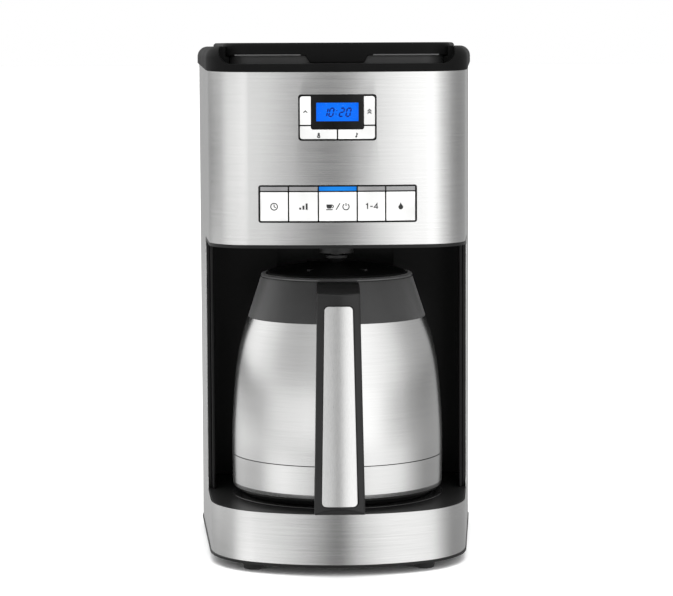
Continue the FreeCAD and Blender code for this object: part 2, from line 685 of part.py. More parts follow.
# ================================================================ carafe
def carafe_shell():
    foot_r, foot_z = SHELL_OUTLINE[0]
    top_r, top_z = SHELL_OUTLINE[-1]
    outer = turned_curve(SHELL_OUTLINE, [(0, top_z), (0, foot_z)])
    inner_outline = [(radius - VESSEL_SHEET, z) for radius, z in SHELL_OUTLINE]
    inner = turned_curve(inner_outline, [(0, top_z), (0, foot_z)])
    return outer.cut(inner)


def carafe_base_cup():
    wall = VESSEL_SHEET
    outer = [(0, CUP_FOOT_Z), (69.0, CUP_FOOT_Z), (72.4, 47.7), (73.9, 49.4), (74.3, 52.0),
             (74.6, CUP_TOP_Z), (0, CUP_TOP_Z)]
    inner = [(0, CUP_FOOT_Z + wall), (68.8, CUP_FOOT_Z + wall), (71.7, 48.4), (73.1, 50.0), (73.5, 52.2),
             (74.6 - wall, CUP_TOP_Z + 1), (0, CUP_TOP_Z + 1)]
    return turned(outer).cut(turned(inner))


def carafe_liner():
    """The inner flask, with its neck."""
    top = [(MOUTH_R + VESSEL_SHEET, 197.6), (0, 197.6), (0, 56.0), (56.0, 56.0), (64.0, 58.4)]
    outer = turned_curve(LINER_OUTLINE, top)
    inside = [(radius - VESSEL_SHEET, z) for radius, z in LINER_OUTLINE]
    inner = turned_curve(inside, [(MOUTH_R, 199.0), (0, 199.0), (0, 56.8), (55.8, 56.8), (63.3, 59.2)])
    return outer.cut(inner)


def carafe_foot_ring():
    return turned([(56.0, CARAFE_FOOT_Z), (66.5, CARAFE_FOOT_Z), (67.5, CARAFE_FOOT_Z + 0.8),
                   (68.5, CUP_FOOT_Z), (54.0, CUP_FOOT_Z)])


def carafe_collar():
    outline = [(62.7, COLLAR_FOOT_Z + 0.1), (58.6, 181.0), (55.0, 192.0), (53.6, 196.6),
               (RIM_R, CARAFE_RIM_Z), (50.4, CARAFE_RIM_Z), (49.6, 196.0), (49.6, 187.0), (56.4, 172.4),
               (57.6, COLLAR_FOOT_Z + 0.1)]
    cone = turned(outline)
    lip = Part.makeCone(6.0, 13.0, 22.0, V(0, CARAFE_Y + 45.5, CARAFE_RIM_Z - 22.0))
    lip = lip.cut(Part.makeCone(4.4, 11.4, 22.5, V(0, CARAFE_Y + 45.5, CARAFE_RIM_Z - 22.0)))
    inside = turned([(0, 150), (60.5, 150), (57.4, 172.4), (50.4, 187.0), (50.4, 210), (0, 210)])
    return cone.fuse(lip.cut(inside)).removeSplitter()


def carafe_handle():
    return handle_blank().cut(inlay_body(0.05)).cut(handle_screws())


def grip_axis():
    """A point on the grip's crown axis at its foot, and the direction of the axis going up."""
    foot = V(0, HANDLE_FOOT_Y, HANDLE_Z0)
    top = V(0, HANDLE_TOP_Y, HANDLE_Z1)
    direction = (top - foot).normalize()
    inward = V(0, direction.z, -direction.y)
    return foot + inward * GRIP_CROWN_R - direction * 20, direction


def crowned_core(grow):
    start, direction = grip_axis()
    return rod(GRIP_CROWN_R + grow, start, direction, 240)


def front_wedge(half_top, half_foot, z0, z1):
    """A tapering plate seen from the front, through the whole handle."""
    outline = [V(-half_foot, -FAR, z0), V(half_foot, -FAR, z0),
               V(half_top, -FAR, z1), V(-half_top, -FAR, z1)]
    return polygon(outline).extrude(BACKWARD * FAR)


def handle_blank():
    lean = (HANDLE_FOOT_Y - HANDLE_TOP_Y) / (HANDLE_Z0 - HANDLE_Z1)

    def face_y(z):
        return HANDLE_TOP_Y + lean * (z - HANDLE_Z1)

    outer = [(-60.5, 197.2), (-92.0, 197.2), (face_y(192.4), 192.4), (face_y(HANDLE_Z0 + 4), HANDLE_Z0 + 4),
             (face_y(HANDLE_Z0) + 5, HANDLE_Z0), (-110.0, HANDLE_Z0), (-103.0, 50.5), (-82.0, 53.0),
             (-82.0, 66.0), (face_y(76.0) + GRIP_DEPTH, 76.0), (face_y(176.0) + GRIP_DEPTH, 176.0),
             (-86.0, 184.0), (-66.0, 184.0)]
    slab = side_slab(outer, GRIP_FOOT_X)
    blank = slab.common(front_wedge(GRIP_TOP_X, GRIP_FOOT_X, HANDLE_Z0 - 1, 197.5)).common(crowned_core(0))
    keep_out = turned([(0, 40), (75.0, 40), (75.0, 74.0), (62.9, 168.0), (59.0, 181.0), (55.2, 192.0),
                       (53.8, 196.6), (53.0, 210), (0, 210)])
    return blank.cut(keep_out)


INLAY_TOP_X = 9.5
INLAY_FOOT_X = 12.0
INLAY_Z0 = 52.0
INLAY_Z1 = 184.8


def inlay_body(clearance):
    half_top = INLAY_TOP_X + clearance
    half_foot = INLAY_FOOT_X + clearance
    wedge = front_wedge(half_top, half_foot, INLAY_Z0 - clearance, INLAY_Z1 + clearance)
    wedge = rounded_edges(wedge, 3.0, lambda p: abs(p.x) > 3 and abs(abs(p.x) - 10.9) > 0.6
                          and abs(p.y + FAR / 2) < 1)
    return wedge.common(crowned_core(0.2)).cut(crowned_core(-1.2)).common(front_of(-85.0))


def handle_inlay():
    return inlay_body(0.0)


def handle_screws():
    """Two screws clamp the handle: one under the top arm and one under the lower arm."""
    one = screw(3.0, 1.5, 1.4, 6.0)
    return Part.makeCompound([one.translated(V(0, -75.0, 184.0)), one.translated(V(0, -91.0, 51.9))])


LID_FLANGE_Z = CARAFE_RIM_Z + 0.4


def carafe_lid():
    dome = [(4.0, 206.1), (16.0, 205.7), (30.0, 204.4), (42.0, 202.2), (48.6, 200.2), (49.6, LID_FLANGE_Z)]
    profile = dome + [(46.6, LID_FLANGE_Z), (46.6, 192.0), (45.6, 192.0), (45.6, 190.0), (46.6, 190.0),
                      (46.6, 186.5), (44.4, 186.5), (44.4, LID_FLANGE_Z), (4.0, 203.2)]
    lid = turned(profile)
    ridges = []
    for angle in (60, 120, 240, 300):
        ridge = box(24, 40, -1.2, 1.2, 200, 204.2)
        ridge.rotate(V(0, 0, 0), UP, angle)
        ridges.append(ridge.translated(V(0, CARAFE_Y, 0)))
    return fused([lid] + ridges)


def lid_gasket():
    return ring(47.5, 45.6, 190.0, 192.0)


# ================================================================ front panel, buttons and electronics
def main_cells():
    """The x range of each main button, with half a gap taken off both sides."""
    return [(left + GAP / 2, right - GAP / 2) for left, right in zip(DIVIDERS, DIVIDERS[1:])]


def stem(x, z):
    """The plunger between a button's cap and its switch."""
    return rod(STEM_R, V(x, HEAD_FRONT_Y + 1.0, z), BACKWARD, STEM_END_Y - HEAD_FRONT_Y - 1.0)


def main_button(left, right):
    cap = front_slab(left, right, CAP_Z0, CAP_Z1, -BUTTON_PROUD, CAP_BACK)
    middle = (left + right) / 2
    face = front_slab(left, right, CAP_Z0, CAP_Z1, 0.5, 12.0)
    return fused([cap, stem(middle, MAIN_STEM_Z).common(face)])


MAIN_STEM_Z = (CAP_Z0 + CAP_Z1) / 2


def button_frame():
    border = front_slab(-PANEL_X, PANEL_X, PANEL_Z0, PANEL_Z1, -FRAME_PROUD, PLATE[1])
    border = border.common(rounded_plate(-PANEL_X, PANEL_X, PANEL_Z0, PANEL_Z1, -FAR, -60, 1.6))
    well = front_slab(DIVIDERS[0] + 0.1, DIVIDERS[-1] - 0.1, CAP_Z0 - 0.4, CAP_Z1 + 0.4, -5.0, PLATE[0])
    frame = border.cut(well)
    for left, right in main_cells():
        lens_slot = front_slab(left, right, LENS_Z0, LENS_Z1, -5.0, LENS_BACK)
        frame = frame.cut(lens_slot)
        frame = frame.cut(rod(STEM_R + 0.4, V((left + right) / 2, -FAR, MAIN_STEM_Z), BACKWARD, FAR))
    return frame


LENS_BACK = 2.6


def lens(left, right):
    return front_slab(left + 0.05, right - 0.05, LENS_Z0 + 0.05, LENS_Z1 - 0.05, -FRAME_PROUD - 0.1,
                      LENS_BACK)


def brew_lens():
    return lens(*main_cells()[2])


def indicator_lenses():
    cells = main_cells()
    return Part.makeCompound([lens(*cells[index]) for index in (0, 1, 3, 4)])


SIDE_CELL = (BEZEL_X + GAP / 2, CLOCK_X - 1.0, BEZEL_Z0 + 2.7, CLOCK_Z1 - 1.1)
FOOT_CELL = (GAP / 2, CLOCK_X - 1.0, CLOCK_Z0 + 1.0, BEZEL_Z0 + 1.8)
SIDE_STEM = (21.6, 315.0)
FOOT_STEM = (13.5, 299.4)


def clock_cap(cell, inset_out, inset_in, grow=0.0):
    """A clock button's front outline. The lower ones are notched by the display's bezel."""
    x0, x1, z0, z1 = cell
    cap = front_slab(x0 - grow, x1 + grow, z0 - grow, z1 + grow, inset_out, inset_in)
    group = rounded_plate(-CLOCK_X + 1.0 - grow, CLOCK_X - 1.0 + grow, CLOCK_Z0 + 1.0 - grow,
                          CLOCK_Z1 - 1.1 + grow, -FAR, 0, 1.8)
    notch = rounded_plate(-BEZEL_X - 0.5 + grow, BEZEL_X + 0.5 - grow, BEZEL_Z0 - 0.5 + grow, CLOCK_Z1,
                          -FAR, 0, 1.6)
    cap = cap.common(group)
    return cap.cut(notch) if cell is FOOT_CELL else cap


def clock_button(cell, stem_place):
    face = front_slab(0, CLOCK_X, CLOCK_Z0, CLOCK_Z1, 0.5, 12.0)
    return fused([clock_cap(cell, -BUTTON_PROUD, CAP_BACK), stem(*stem_place).common(face)])


def clock_bezel():
    plate = rounded_plate(-CLOCK_X, CLOCK_X, CLOCK_Z0, CLOCK_Z1, -FAR, -60, 2.0)
    frame = plate.common(HEAD.skin(-FRAME_PROUD, PLATE[1], CLOCK_Z0, CLOCK_Z1))
    for cell, place in ((SIDE_CELL, SIDE_STEM), (FOOT_CELL, FOOT_STEM)):
        well = clock_cap(cell, -5.0, PLATE[0], 0.35)
        hole = rod(STEM_R + 0.4, V(place[0], -FAR, place[1]), BACKWARD, FAR)
        frame = frame.cut(well).cut(mirrored(well)).cut(hole).cut(mirrored(hole))
    frame = frame.cut(box(-DISPLAY_X, DISPLAY_X, -FAR, 0, DISPLAY_Z0, DISPLAY_Z1))
    return frame.cut(front_slab(-LCD_X, LCD_X, LCD_Z0, LCD_Z1, 2.0, 12.0))


LCD_X = 16.4
LCD_Z0 = 306.0
LCD_Z1 = 323.2


def display_window():
    return front_slab(-DISPLAY_X, DISPLAY_X, DISPLAY_Z0, DISPLAY_Z1, 0.3, 1.8)


def lcd_module():
    return box(-LCD_X + 0.3, LCD_X - 0.3, HEAD_FRONT_Y + 2.6, BOARD_Y, LCD_Z0 + 0.3, LCD_Z1 - 0.3)


BOARD_X = 58.0
BOARD_Z1 = 327.0


def control_board():
    board = box(-BOARD_X, BOARD_X, BOARD_Y, BOARD_Y + 1.6, 234, BOARD_Z1)
    for x in (-BOARD_X + 4, BOARD_X - 4):
        for z in (238, BOARD_Z1 - 4):
            board = board.cut(rod(1.6, V(x, BOARD_Y - 5, z), BACKWARD, 12))
    chip = box(-9, 9, BOARD_Y + 1.6, BOARD_Y + 3.4, 276, 294)
    buzzer = rod(6.0, V(42, BOARD_Y - 3.6, 285), BACKWARD, 3.6)
    buzzer = buzzer.cut(rod(1.2, V(42, BOARD_Y - 5, 285), BACKWARD, 3.0))
    return fused([board, chip, buzzer])


def switch_places():
    places = [((left + right) / 2, MAIN_STEM_Z) for left, right in main_cells()]
    for x, z in (SIDE_STEM, FOOT_STEM):
        places += [(x, z), (-x, z)]
    return places


def tact_switches():
    switches = []
    for x, z in switch_places():
        case = box(x - 2.2, x + 2.2, SWITCH_Y + 1.2, BOARD_Y, z - 2.2, z + 2.2)
        plunger = rod(1.4, V(x, SWITCH_Y, z), BACKWARD, 2.0)
        switches.append(case.fuse(plunger).removeSplitter())
    return Part.makeCompound(switches)


def power_board():
    board = box(-34, 34, 0, 40, POWER_BOARD_Z, POWER_BOARD_Z + 1.6)
    for x, y in BOARD_POSTS:
        board = board.cut(disc(1.2, 0, 40, x, y))
    relay = box(-22, -4, 10, 24, POWER_BOARD_Z + 1.6, 31)
    transformer = box(4, 26, 8, 30, POWER_BOARD_Z + 1.6, 34)
    capacitor = disc(5.0, POWER_BOARD_Z + 1.6, 32, -12.0, 32.5)
    return fused([board, relay, transformer, capacitor])


RIBBON_X0 = 58.0
RIBBON_X1 = 68.0
RIBBON_Y = 70.0
RIBBON = 0.8


def ribbon_cable():
    """Flat cable from the control board, over the head's floor and down behind the bay."""
    front_y = BOARD_Y + 0.4
    floor_z = HEAD_STEEL_Z + 0.1
    down = box(RIBBON_X0, RIBBON_X1, front_y, front_y + RIBBON, floor_z, 243.0)
    along = box(RIBBON_X0, RIBBON_X1, front_y, RIBBON_Y + RIBBON, floor_z, floor_z + RIBBON)
    drop = box(RIBBON_X0, RIBBON_X1, RIBBON_Y, RIBBON_Y + RIBBON, 12.0, floor_z + RIBBON)
    into_base = box(34.0, RIBBON_X1, RIBBON_Y, RIBBON_Y + RIBBON, 12.0, 22.0)
    return fused([down, along, drop, into_base])


def cord_gland():
    flange = rod(9.0, V(60, BACK_Y, 24), BACKWARD, OVERHANG)
    body = rod(7.0, V(60, BACK_Y - 8.8, 24), BACKWARD, 9.0)
    return flange.fuse(body).cut(rod(3.6, V(60, BACK_Y - 20, 24), BACKWARD, 40)).removeSplitter()


# ================================================================ write every piece to its own file
def all_pieces():
    pieces = {
        "base_pan": base_pan(), "base_housing": base_housing(), "steel_wrap": steel_wrap(),
        "head_housing": head_housing(), "rear_housing": rear_housing(), "bay_liner": bay_liner(),
        "head_floor": head_floor(), "top_collar": top_collar(), "carafe_platform": carafe_platform(),
        "level_window": level_window(), "feet": feet(), "base_screws": base_screws(),
        "cord_gland": cord_gland(), "lid_hinge_pins": lid_hinge_pins(), "lid_cover": lid_cover(),
        "lid_inner_panel": lid_inner_panel(), "lid_port_seal": lid_port_seal(), "shower_head": shower_head(),
        "water_reservoir": water_reservoir(), "water_filter_holder": water_filter_holder(),
        "heater_block": heater_block(), "heater_tube": heater_tube(), "thermal_cutouts": thermal_cutouts(),
        "check_valve": check_valve(), "inlet_hose": inlet_hose(),
        "riser_hose": riser_hose(), "outlet_spout": outlet_spout(), "basket_holder": basket_holder(),
        "filter_basket": filter_basket(), "drip_valve": drip_valve(), "valve_spring": valve_spring(),
        "carafe_shell": carafe_shell(), "carafe_base_cup": carafe_base_cup(), "carafe_liner": carafe_liner(),
        "carafe_foot_ring": carafe_foot_ring(), "carafe_collar": carafe_collar(),
        "carafe_handle": carafe_handle(), "handle_inlay": handle_inlay(), "handle_screws": handle_screws(),
        "carafe_lid": carafe_lid(), "lid_gasket": lid_gasket(), "button_frame": button_frame(),
        "brew_lens": brew_lens(), "indicator_lenses": indicator_lenses(), "clock_bezel": clock_bezel(),
        "display_window": display_window(), "lcd_module": lcd_module(), "control_board": control_board(),
        "tact_switches": tact_switches(), "power_board": power_board(),
        "ribbon_cable": ribbon_cable(),
    }
    for name, (left, right) in zip(MAIN_BUTTONS, main_cells()):
        pieces[name] = main_button(left, right)
    pieces["button_minute"] = clock_button(SIDE_CELL, SIDE_STEM)
    pieces["button_tone"] = clock_button(FOOT_CELL, FOOT_STEM)
    pieces["button_hour"] = mirrored(pieces["button_minute"])
    pieces["button_temperature"] = mirrored(pieces["button_tone"])
    return pieces


os.makedirs("parts", exist_ok=True)
for node, shape in all_pieces().items():
    closed = all(solid.isClosed() and solid.isValid() for solid in shape.Solids)
    limits = shape.BoundBox
    print(f"{node:22s} solids {len(shape.Solids):2d} closed {closed} volume {shape.Volume:10.1f} "
          f"x {limits.XMin:7.1f} {limits.XMax:7.1f} y {limits.YMin:7.1f} {limits.YMax:7.1f} "
          f"z {limits.ZMin:6.1f} {limits.ZMax:6.1f}")
    shape.exportStep(f"parts/{node}.step")
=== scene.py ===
import json
import math

import bmesh
import bpy
from mathutils import Matrix, Vector


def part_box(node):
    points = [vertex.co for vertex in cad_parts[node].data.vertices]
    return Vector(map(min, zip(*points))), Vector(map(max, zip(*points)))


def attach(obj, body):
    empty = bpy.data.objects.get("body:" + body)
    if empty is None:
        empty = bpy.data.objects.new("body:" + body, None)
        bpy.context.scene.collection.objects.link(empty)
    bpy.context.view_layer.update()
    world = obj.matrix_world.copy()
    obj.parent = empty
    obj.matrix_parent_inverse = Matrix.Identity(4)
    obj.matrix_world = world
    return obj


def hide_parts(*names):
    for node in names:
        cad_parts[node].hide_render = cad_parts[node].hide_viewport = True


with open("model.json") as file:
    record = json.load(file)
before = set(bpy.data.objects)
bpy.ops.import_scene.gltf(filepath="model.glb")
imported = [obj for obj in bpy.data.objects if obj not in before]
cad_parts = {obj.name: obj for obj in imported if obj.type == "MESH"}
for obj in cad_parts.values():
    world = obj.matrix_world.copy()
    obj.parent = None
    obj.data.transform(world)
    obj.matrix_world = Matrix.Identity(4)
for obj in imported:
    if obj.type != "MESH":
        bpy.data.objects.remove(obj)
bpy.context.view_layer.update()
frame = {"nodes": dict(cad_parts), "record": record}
nodes = frame["nodes"]

# %% [markdown]
# **Units and places.** Everything is in metres and in the frame's own axes: X to the right, Y from the
# front to the back, Z up. Sizes that belong to a piece are read from its box, so a place is never guessed.

# %% Units, boxes and bodies
MM = 0.001


class Span:
    """The box of one frame node, with its limits by name."""

    def __init__(self, node):
        low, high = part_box(node)
        self.x0, self.y0, self.z0 = low
        self.x1, self.y1, self.z1 = high
        self.middle = (low + high) / 2
        self.size = high - low


body_of_node = {}
for body_name, members in frame["record"]["behaviour"]["bodies"].items():
    for member in members:
        body_of_node[member] = body_name
print("steel front at", round(Span("steel_wrap").y0 / MM, 1), "mm")

# %% [markdown]
# **Camera.** The machine is seen nearly straight on from just above its lid, with a long lens, so its sides
# stay almost parallel. A long lens set far away does that; moving a short lens back and cropping would need
# a shift, which the other views would keep.

# %% Camera
PICTURE_WIDTH = 673
FOCAL_REACH = 2530     # the lens in the same unit as the width
SENSOR = 36.0
PITCH = math.radians(5.72)
YAW = math.radians(0.75)
ROLL = math.radians(-0.25)
DISTANCE = 1.7896
EYE_HEIGHT = 0.359

camera_data = bpy.data.cameras.new("camera")
camera_data.sensor_width = SENSOR
camera_data.lens = SENSOR * FOCAL_REACH / PICTURE_WIDTH
camera_data.clip_start = 0.05
camera = bpy.data.objects.new("camera", camera_data)
turn = Matrix.Rotation(-YAW, 4, "Z")
place = Matrix.Translation((0, -DISTANCE, EYE_HEIGHT))
aim = Matrix.Rotation(math.pi / 2 - PITCH, 4, "X") @ Matrix.Rotation(ROLL, 4, "Z")
camera.matrix_world = turn @ place @ aim
bpy.context.scene.collection.objects.link(camera)
bpy.context.scene.camera = camera
print("lens", round(camera_data.lens, 1), "mm")

# %% [markdown]
# **Shader maths.** A material's look is worked out by nodes joined with wires, and a sum of three terms is
# already five nodes. They could be placed one by one, but the formula would be hard to find again. The
# small class Wire lets an output be added and multiplied as in any expression, and each operator adds its
# node. The class Nodes makes every other kind of node in one call: its type, its settings, the values of
# its inputs.

# %% One class for shader maths
class Wire:
    """An output socket that can be used in arithmetic. Each operator adds one Math node."""

    def __init__(self, finish, socket):
        self.finish = finish
        self.socket = socket

    def maths(self, operation, *values):
        inputs = dict(enumerate((self,) + values))
        return self.finish.add("Math", {"operation": operation}, inputs)

    def __add__(self, other):
        return self.maths("ADD", other)

    def __radd__(self, other):
        return self + other

    def __sub__(self, other):
        return self.maths("SUBTRACT", other)

    def __rsub__(self, other):
        return self * -1 + other

    def __mul__(self, other):
        return self.maths("MULTIPLY", other)

    def __rmul__(self, other):
        return self * other

    def __truediv__(self, other):
        return self.maths("DIVIDE", other)

    def between(self, low, high):
        """0 at low, 1 at high, smooth on the way."""
        ramp = {"interpolation_type": "SMOOTHSTEP"}
        return self.finish.add("MapRange", ramp, {"Value": self, "From Min": low, "From Max": high})


class Nodes:
    """A node tree that is filled by one method."""

    def __init__(self, tree):
        self.tree = tree

    def add(self, kind, settings=None, inputs=None, output=0):
        node = self.tree.nodes.new("ShaderNode" + kind)
        for key, value in (settings or {}).items():
            if key == "stops":
                self.set_stops(node.color_ramp, value)
            else:
                setattr(node, key, value)
        for key, value in (inputs or {}).items():
            self.join(value, node.inputs[key])
        return Wire(self, node.outputs[output])

    def set_stops(self, ramp, stops):
        while len(ramp.elements) < len(stops):
            ramp.elements.new(1.0)
        for element, (position, colour) in zip(ramp.elements, stops):
            element.position = position
            element.color = (*colour, 1.0)

    def join(self, value, socket):
        if isinstance(value, Wire):
            self.tree.links.new(value.socket, socket)
        elif socket.type == "RGBA" and len(value) == 3:
            socket.default_value = (*value, 1.0)
        else:
            socket.default_value = value

    def mixed(self, factor, first, second):
        """A colour between two colours."""
        mix = {"data_type": "RGBA"}
        return self.add("Mix", mix, {0: factor, 6: first, 7: second}, output=2)

    def position(self):
        """The point on the surface, in the piece's own metres."""
        return self.add("TexCoord", output=3)

    def stretched(self, scale):
        """The same point with each axis scaled, so that a pattern runs long one way."""
        stretch = {"operation": "MULTIPLY"}
        return self.add("VectorMath", stretch, {0: self.position(), 1: scale})

    def axis(self, name):
        return self.add("SeparateXYZ", None, {0: self.position()}, output="XYZ".index(name))

    def noise(self, scale, detail=2.0, roughness=0.5):
        values = {"Vector": self.stretched(scale), "Scale": 1.0, "Detail": detail, "Roughness": roughness}
        return self.add("TexNoise", None, values)


print("shader classes ready")

# %% [markdown]
# **Room.** Brushed steel only looks like steel when it has something to mirror. The walls of the room are
# bright to the left and right of the front, with a darker gap between them, and dim at the sides. Lamps or
# an image of a studio could do the same, but lamps give hard spots and an image needs a file. A real studio
# is one room. Here it is cut into three rings by height, as a shortcut, so that the head, the carafe and
# the base band can each be tuned on its own: a narrow ring at eye height for the head, a low one for the
# base, and the rest for the carafe. Each ring is a short list of levels by compass direction, set by trial
# for the view from the front. The light depends on direction only, so it stays put from every side. Seen
# directly, past the object, the room is plain white.

# %% Room light
def grey(level):
    return (level, level, level)


world = bpy.data.worlds.new("room")
world.use_nodes = True
bpy.context.scene.world = world
room = Nodes(world.node_tree)
direction = room.add("TexCoord", output=0)
east = room.add("SeparateXYZ", None, {0: direction}, output=0)
south = room.add("SeparateXYZ", None, {0: direction}, output=1)
height = room.add("SeparateXYZ", None, {0: direction}, output=2)
# 0.5 looks out of the front; it falls to the left and rises to the right
compass = east.maths("ARCTAN2", south * -1) / (2 * math.pi) + 0.5


def ring_of_light(levels):
    """The room's brightness all round, from (degrees to the right of the front, level) pairs."""
    stops = [(0.5 + degrees / 360, grey(level)) for degrees, level in levels]
    return room.add("ValToRGB", {"stops": stops}, {0: compass})


HEAD_LEVELS = [(-180, 0.50), (-150, 0.42), (-125, 0.26), (-106, 0.27), (-93, 0.42), (-80, 0.95), (-68, 1.45),
               (-50, 1.75), (-30, 2.10), (-18, 1.95), (-11, 1.30), (-6, 0.58), (-2, 0.03), (2, 0.03),
               (4, 0.55), (9, 1.50), (17, 2.05), (30, 2.15), (44, 1.75), (54, 1.05), (66, 0.58), (90, 0.32),
               (110, 0.30), (140, 0.40), (180, 0.50)]
CARAFE_LEVELS = [(-180, 0.45), (-150, 0.75), (-128, 1.35), (-110, 1.45), (-90, 1.22), (-68, 0.80),
                 (-48, 0.72), (-30, 0.80), (-12, 0.84), (-4, 0.60), (-1, 0.22), (3, 0.22), (7, 1.10),
                 (14, 1.70), (30, 1.65), (48, 1.50), (68, 1.22), (90, 0.72), (112, 0.55), (140, 0.50),
                 (180, 0.45)]
BASE_LEVELS = [(-180, 0.48), (-150, 0.46), (-112, 0.22), (-94, 0.45), (-78, 1.60), (-62, 1.85), (-46, 1.45),
               (-30, 1.00), (-14, 0.42), (-4, 0.14), (4, 0.14), (14, 0.45), (30, 1.15), (50, 1.40),
               (72, 1.50), (90, 0.80), (108, 0.32), (140, 0.36), (180, 0.45)]
# each pair says at what height of the direction a ring fades in, from nothing to full
HEAD_BAND_FOOT = (-0.092, -0.076)
HEAD_BAND_TOP = (0.03, -0.005)
BASE_BAND_TOP = (-0.170, -0.190)
CEILING_FADE = (0.55, 0.98)
GROUND_FADE = (-0.55, -0.98)
CEILING_LEVEL = 0.85
GROUND_LEVEL = 0.40
head_band = height.between(*HEAD_BAND_FOOT) * height.between(*HEAD_BAND_TOP)
base_band = height.between(*BASE_BAND_TOP)
walls = room.mixed(head_band, ring_of_light(CARAFE_LEVELS), ring_of_light(HEAD_LEVELS))
walls = room.mixed(base_band, walls, ring_of_light(BASE_LEVELS))
lit_room = room.mixed(height.between(*CEILING_FADE), walls, grey(CEILING_LEVEL))
lit_room = room.mixed(height.between(*GROUND_FADE), lit_room, grey(GROUND_LEVEL))
background = world.node_tree.nodes["Background"]
straight_from_camera = room.add("LightPath", output=0)
room.join(room.mixed(straight_from_camera, lit_room, grey(1.0)), background.inputs["Color"])
background.inputs["Strength"].default_value = 1.0
print("levels in the rings", len(HEAD_LEVELS), len(CARAFE_LEVELS), len(BASE_LEVELS))

# %% [markdown]
# **Floor.** The machine stands on a plain pale sheet that runs out past the edge of the view. A curved
# paper backdrop would hide the join with the wall; here the room is white anyway, so one flat face is
# enough. It is hidden from mirror reflections, so the steel shows the room's own ground level instead.

# %% Floor
FLOOR_HALF = 40.0


def plain_mesh(name, points, faces):
    mesh = bpy.data.meshes.new(name)
    mesh.from_pydata(points, [], faces)
    mesh.update()
    piece = bpy.data.objects.new(name, mesh)
    bpy.context.scene.collection.objects.link(piece)
    return piece


floor = plain_mesh("floor", [(-FLOOR_HALF, -FLOOR_HALF, 0), (FLOOR_HALF, -FLOOR_HALF, 0),
                             (FLOOR_HALF, FLOOR_HALF, 0), (-FLOOR_HALF, FLOOR_HALF, 0)], [(0, 1, 2, 3)])
floor.visible_glossy = False
print("floor", 2 * FLOOR_HALF, "m across")

# %% [markdown]
# **Lamps.** A very wide sun gives the pale, almost shadowless ground light, and three large area lamps add
# a little form from above and from both sides. Large lamps give soft shadows; small ones would draw hard
# ones. All four are hidden from mirror reflections, so the steel shows the room and not four bright
# rectangles.

# %% Lamps
def soft_lamp(name, watts, size, place, target):
    data = bpy.data.lights.new(name, "AREA")
    data.energy = watts
    data.shape = "RECTANGLE"
    data.size, data.size_y = size
    lamp = bpy.data.objects.new(name, data)
    lamp.location = place
    lamp.rotation_euler = (Vector(target) - Vector(place)).to_track_quat("-Z", "Y").to_euler()
    lamp.visible_glossy = False
    bpy.context.scene.collection.objects.link(lamp)


OBJECT_MIDDLE = (0, 0, 0.18)
SUN_STRENGTH = 2.2
SUN_WIDTH = math.radians(80)
SIDE_LAMP_SIZE = (0.5, 1.4)
sun_data = bpy.data.lights.new("high_sun", "SUN")
sun_data.energy = SUN_STRENGTH
sun_data.angle = SUN_WIDTH
sun = bpy.data.objects.new("high_sun", sun_data)
sun.visible_glossy = False
bpy.context.scene.collection.objects.link(sun)
soft_lamp("top_light", 14, (1.2, 1.2), (0, -0.3, 1.7), OBJECT_MIDDLE)
soft_lamp("left_light", 10, SIDE_LAMP_SIZE, (-1.25, -1.5, 0.7), OBJECT_MIDDLE)
soft_lamp("right_light", 12, SIDE_LAMP_SIZE, (1.25, -1.5, 0.7), OBJECT_MIDDLE)
bpy.context.scene.view_settings.view_transform = "Standard"
print("lamps", len(bpy.data.lights))

# %% [markdown]
# **Finishes.** Each finish is one function that returns a material. What is the same all over is set on the
# shader itself; what changes over the surface, such as brush lines or moulded grain, is a small expression
# that feeds its colour, its roughness or its bump.

# %% A finish
class Finish(Nodes):
    """A principled material with its even values set and its uneven ones joined."""

    def __init__(self, name, **even):
        self.material = bpy.data.materials.new(name)
        self.material.use_nodes = True
        super().__init__(self.material.node_tree)
        self.shader = self.tree.nodes["Principled BSDF"]
        for key, value in even.items():
            self.join(value, self.shader.inputs[key.replace("_", " ")])

    def set(self, socket, value):
        self.join(value, self.shader.inputs[socket])

    def bump(self, height, depth, strength=1.0):
        """Raises the surface by up to depth, in metres, where height is 1."""
        values = {"Height": height, "Distance": depth, "Strength": strength}
        self.set("Normal", self.add("Bump", None, values))


def tinted(colour, factor):
    return tuple(min(1.0, channel * factor) for channel in colour)


# %% [markdown]
# **Steel.** The skin is belt-brushed stainless steel: the lines run round the machine and along the
# handle's inlay. An image of brushed metal would repeat and blur. Noise that is squeezed hard across the
# brush and barely along it gives streaks of any length, and it moves colour, roughness and a bump of a few
# thousandths of a millimetre together. The carafe is polished a little finer, so its streaks are half as
# strong.

# %% Steel
STEEL_COLOUR = (0.60, 0.60, 0.595)
FINER = 3.1


def brushed_steel(name, colour, roughness, lines, grain, contrast=0.09):
    """Belt-brushed steel. lines scales the pattern: small along the brush, large across it."""
    finish = Finish(name, Metallic=1.0)
    streaks = finish.noise(lines, detail=3.0, roughness=0.62)
    fine = finish.noise(tuple(FINER * scale for scale in lines), detail=1.0)
    brush = streaks * 0.6 + fine * 0.4
    cloud = finish.noise((9.0, 9.0, 9.0), detail=1.0)
    dark, light = tinted(colour, 1 - contrast), tinted(colour, 1 + contrast)
    finish.set("Base Color", finish.mixed(brush.between(0.25, 0.75), dark, light))
    finish.set("Roughness", brush * (1.8 * contrast) + cloud * 0.05 + (roughness - 0.9 * contrast - 0.02))
    finish.bump(brush, grain)
    return finish.material


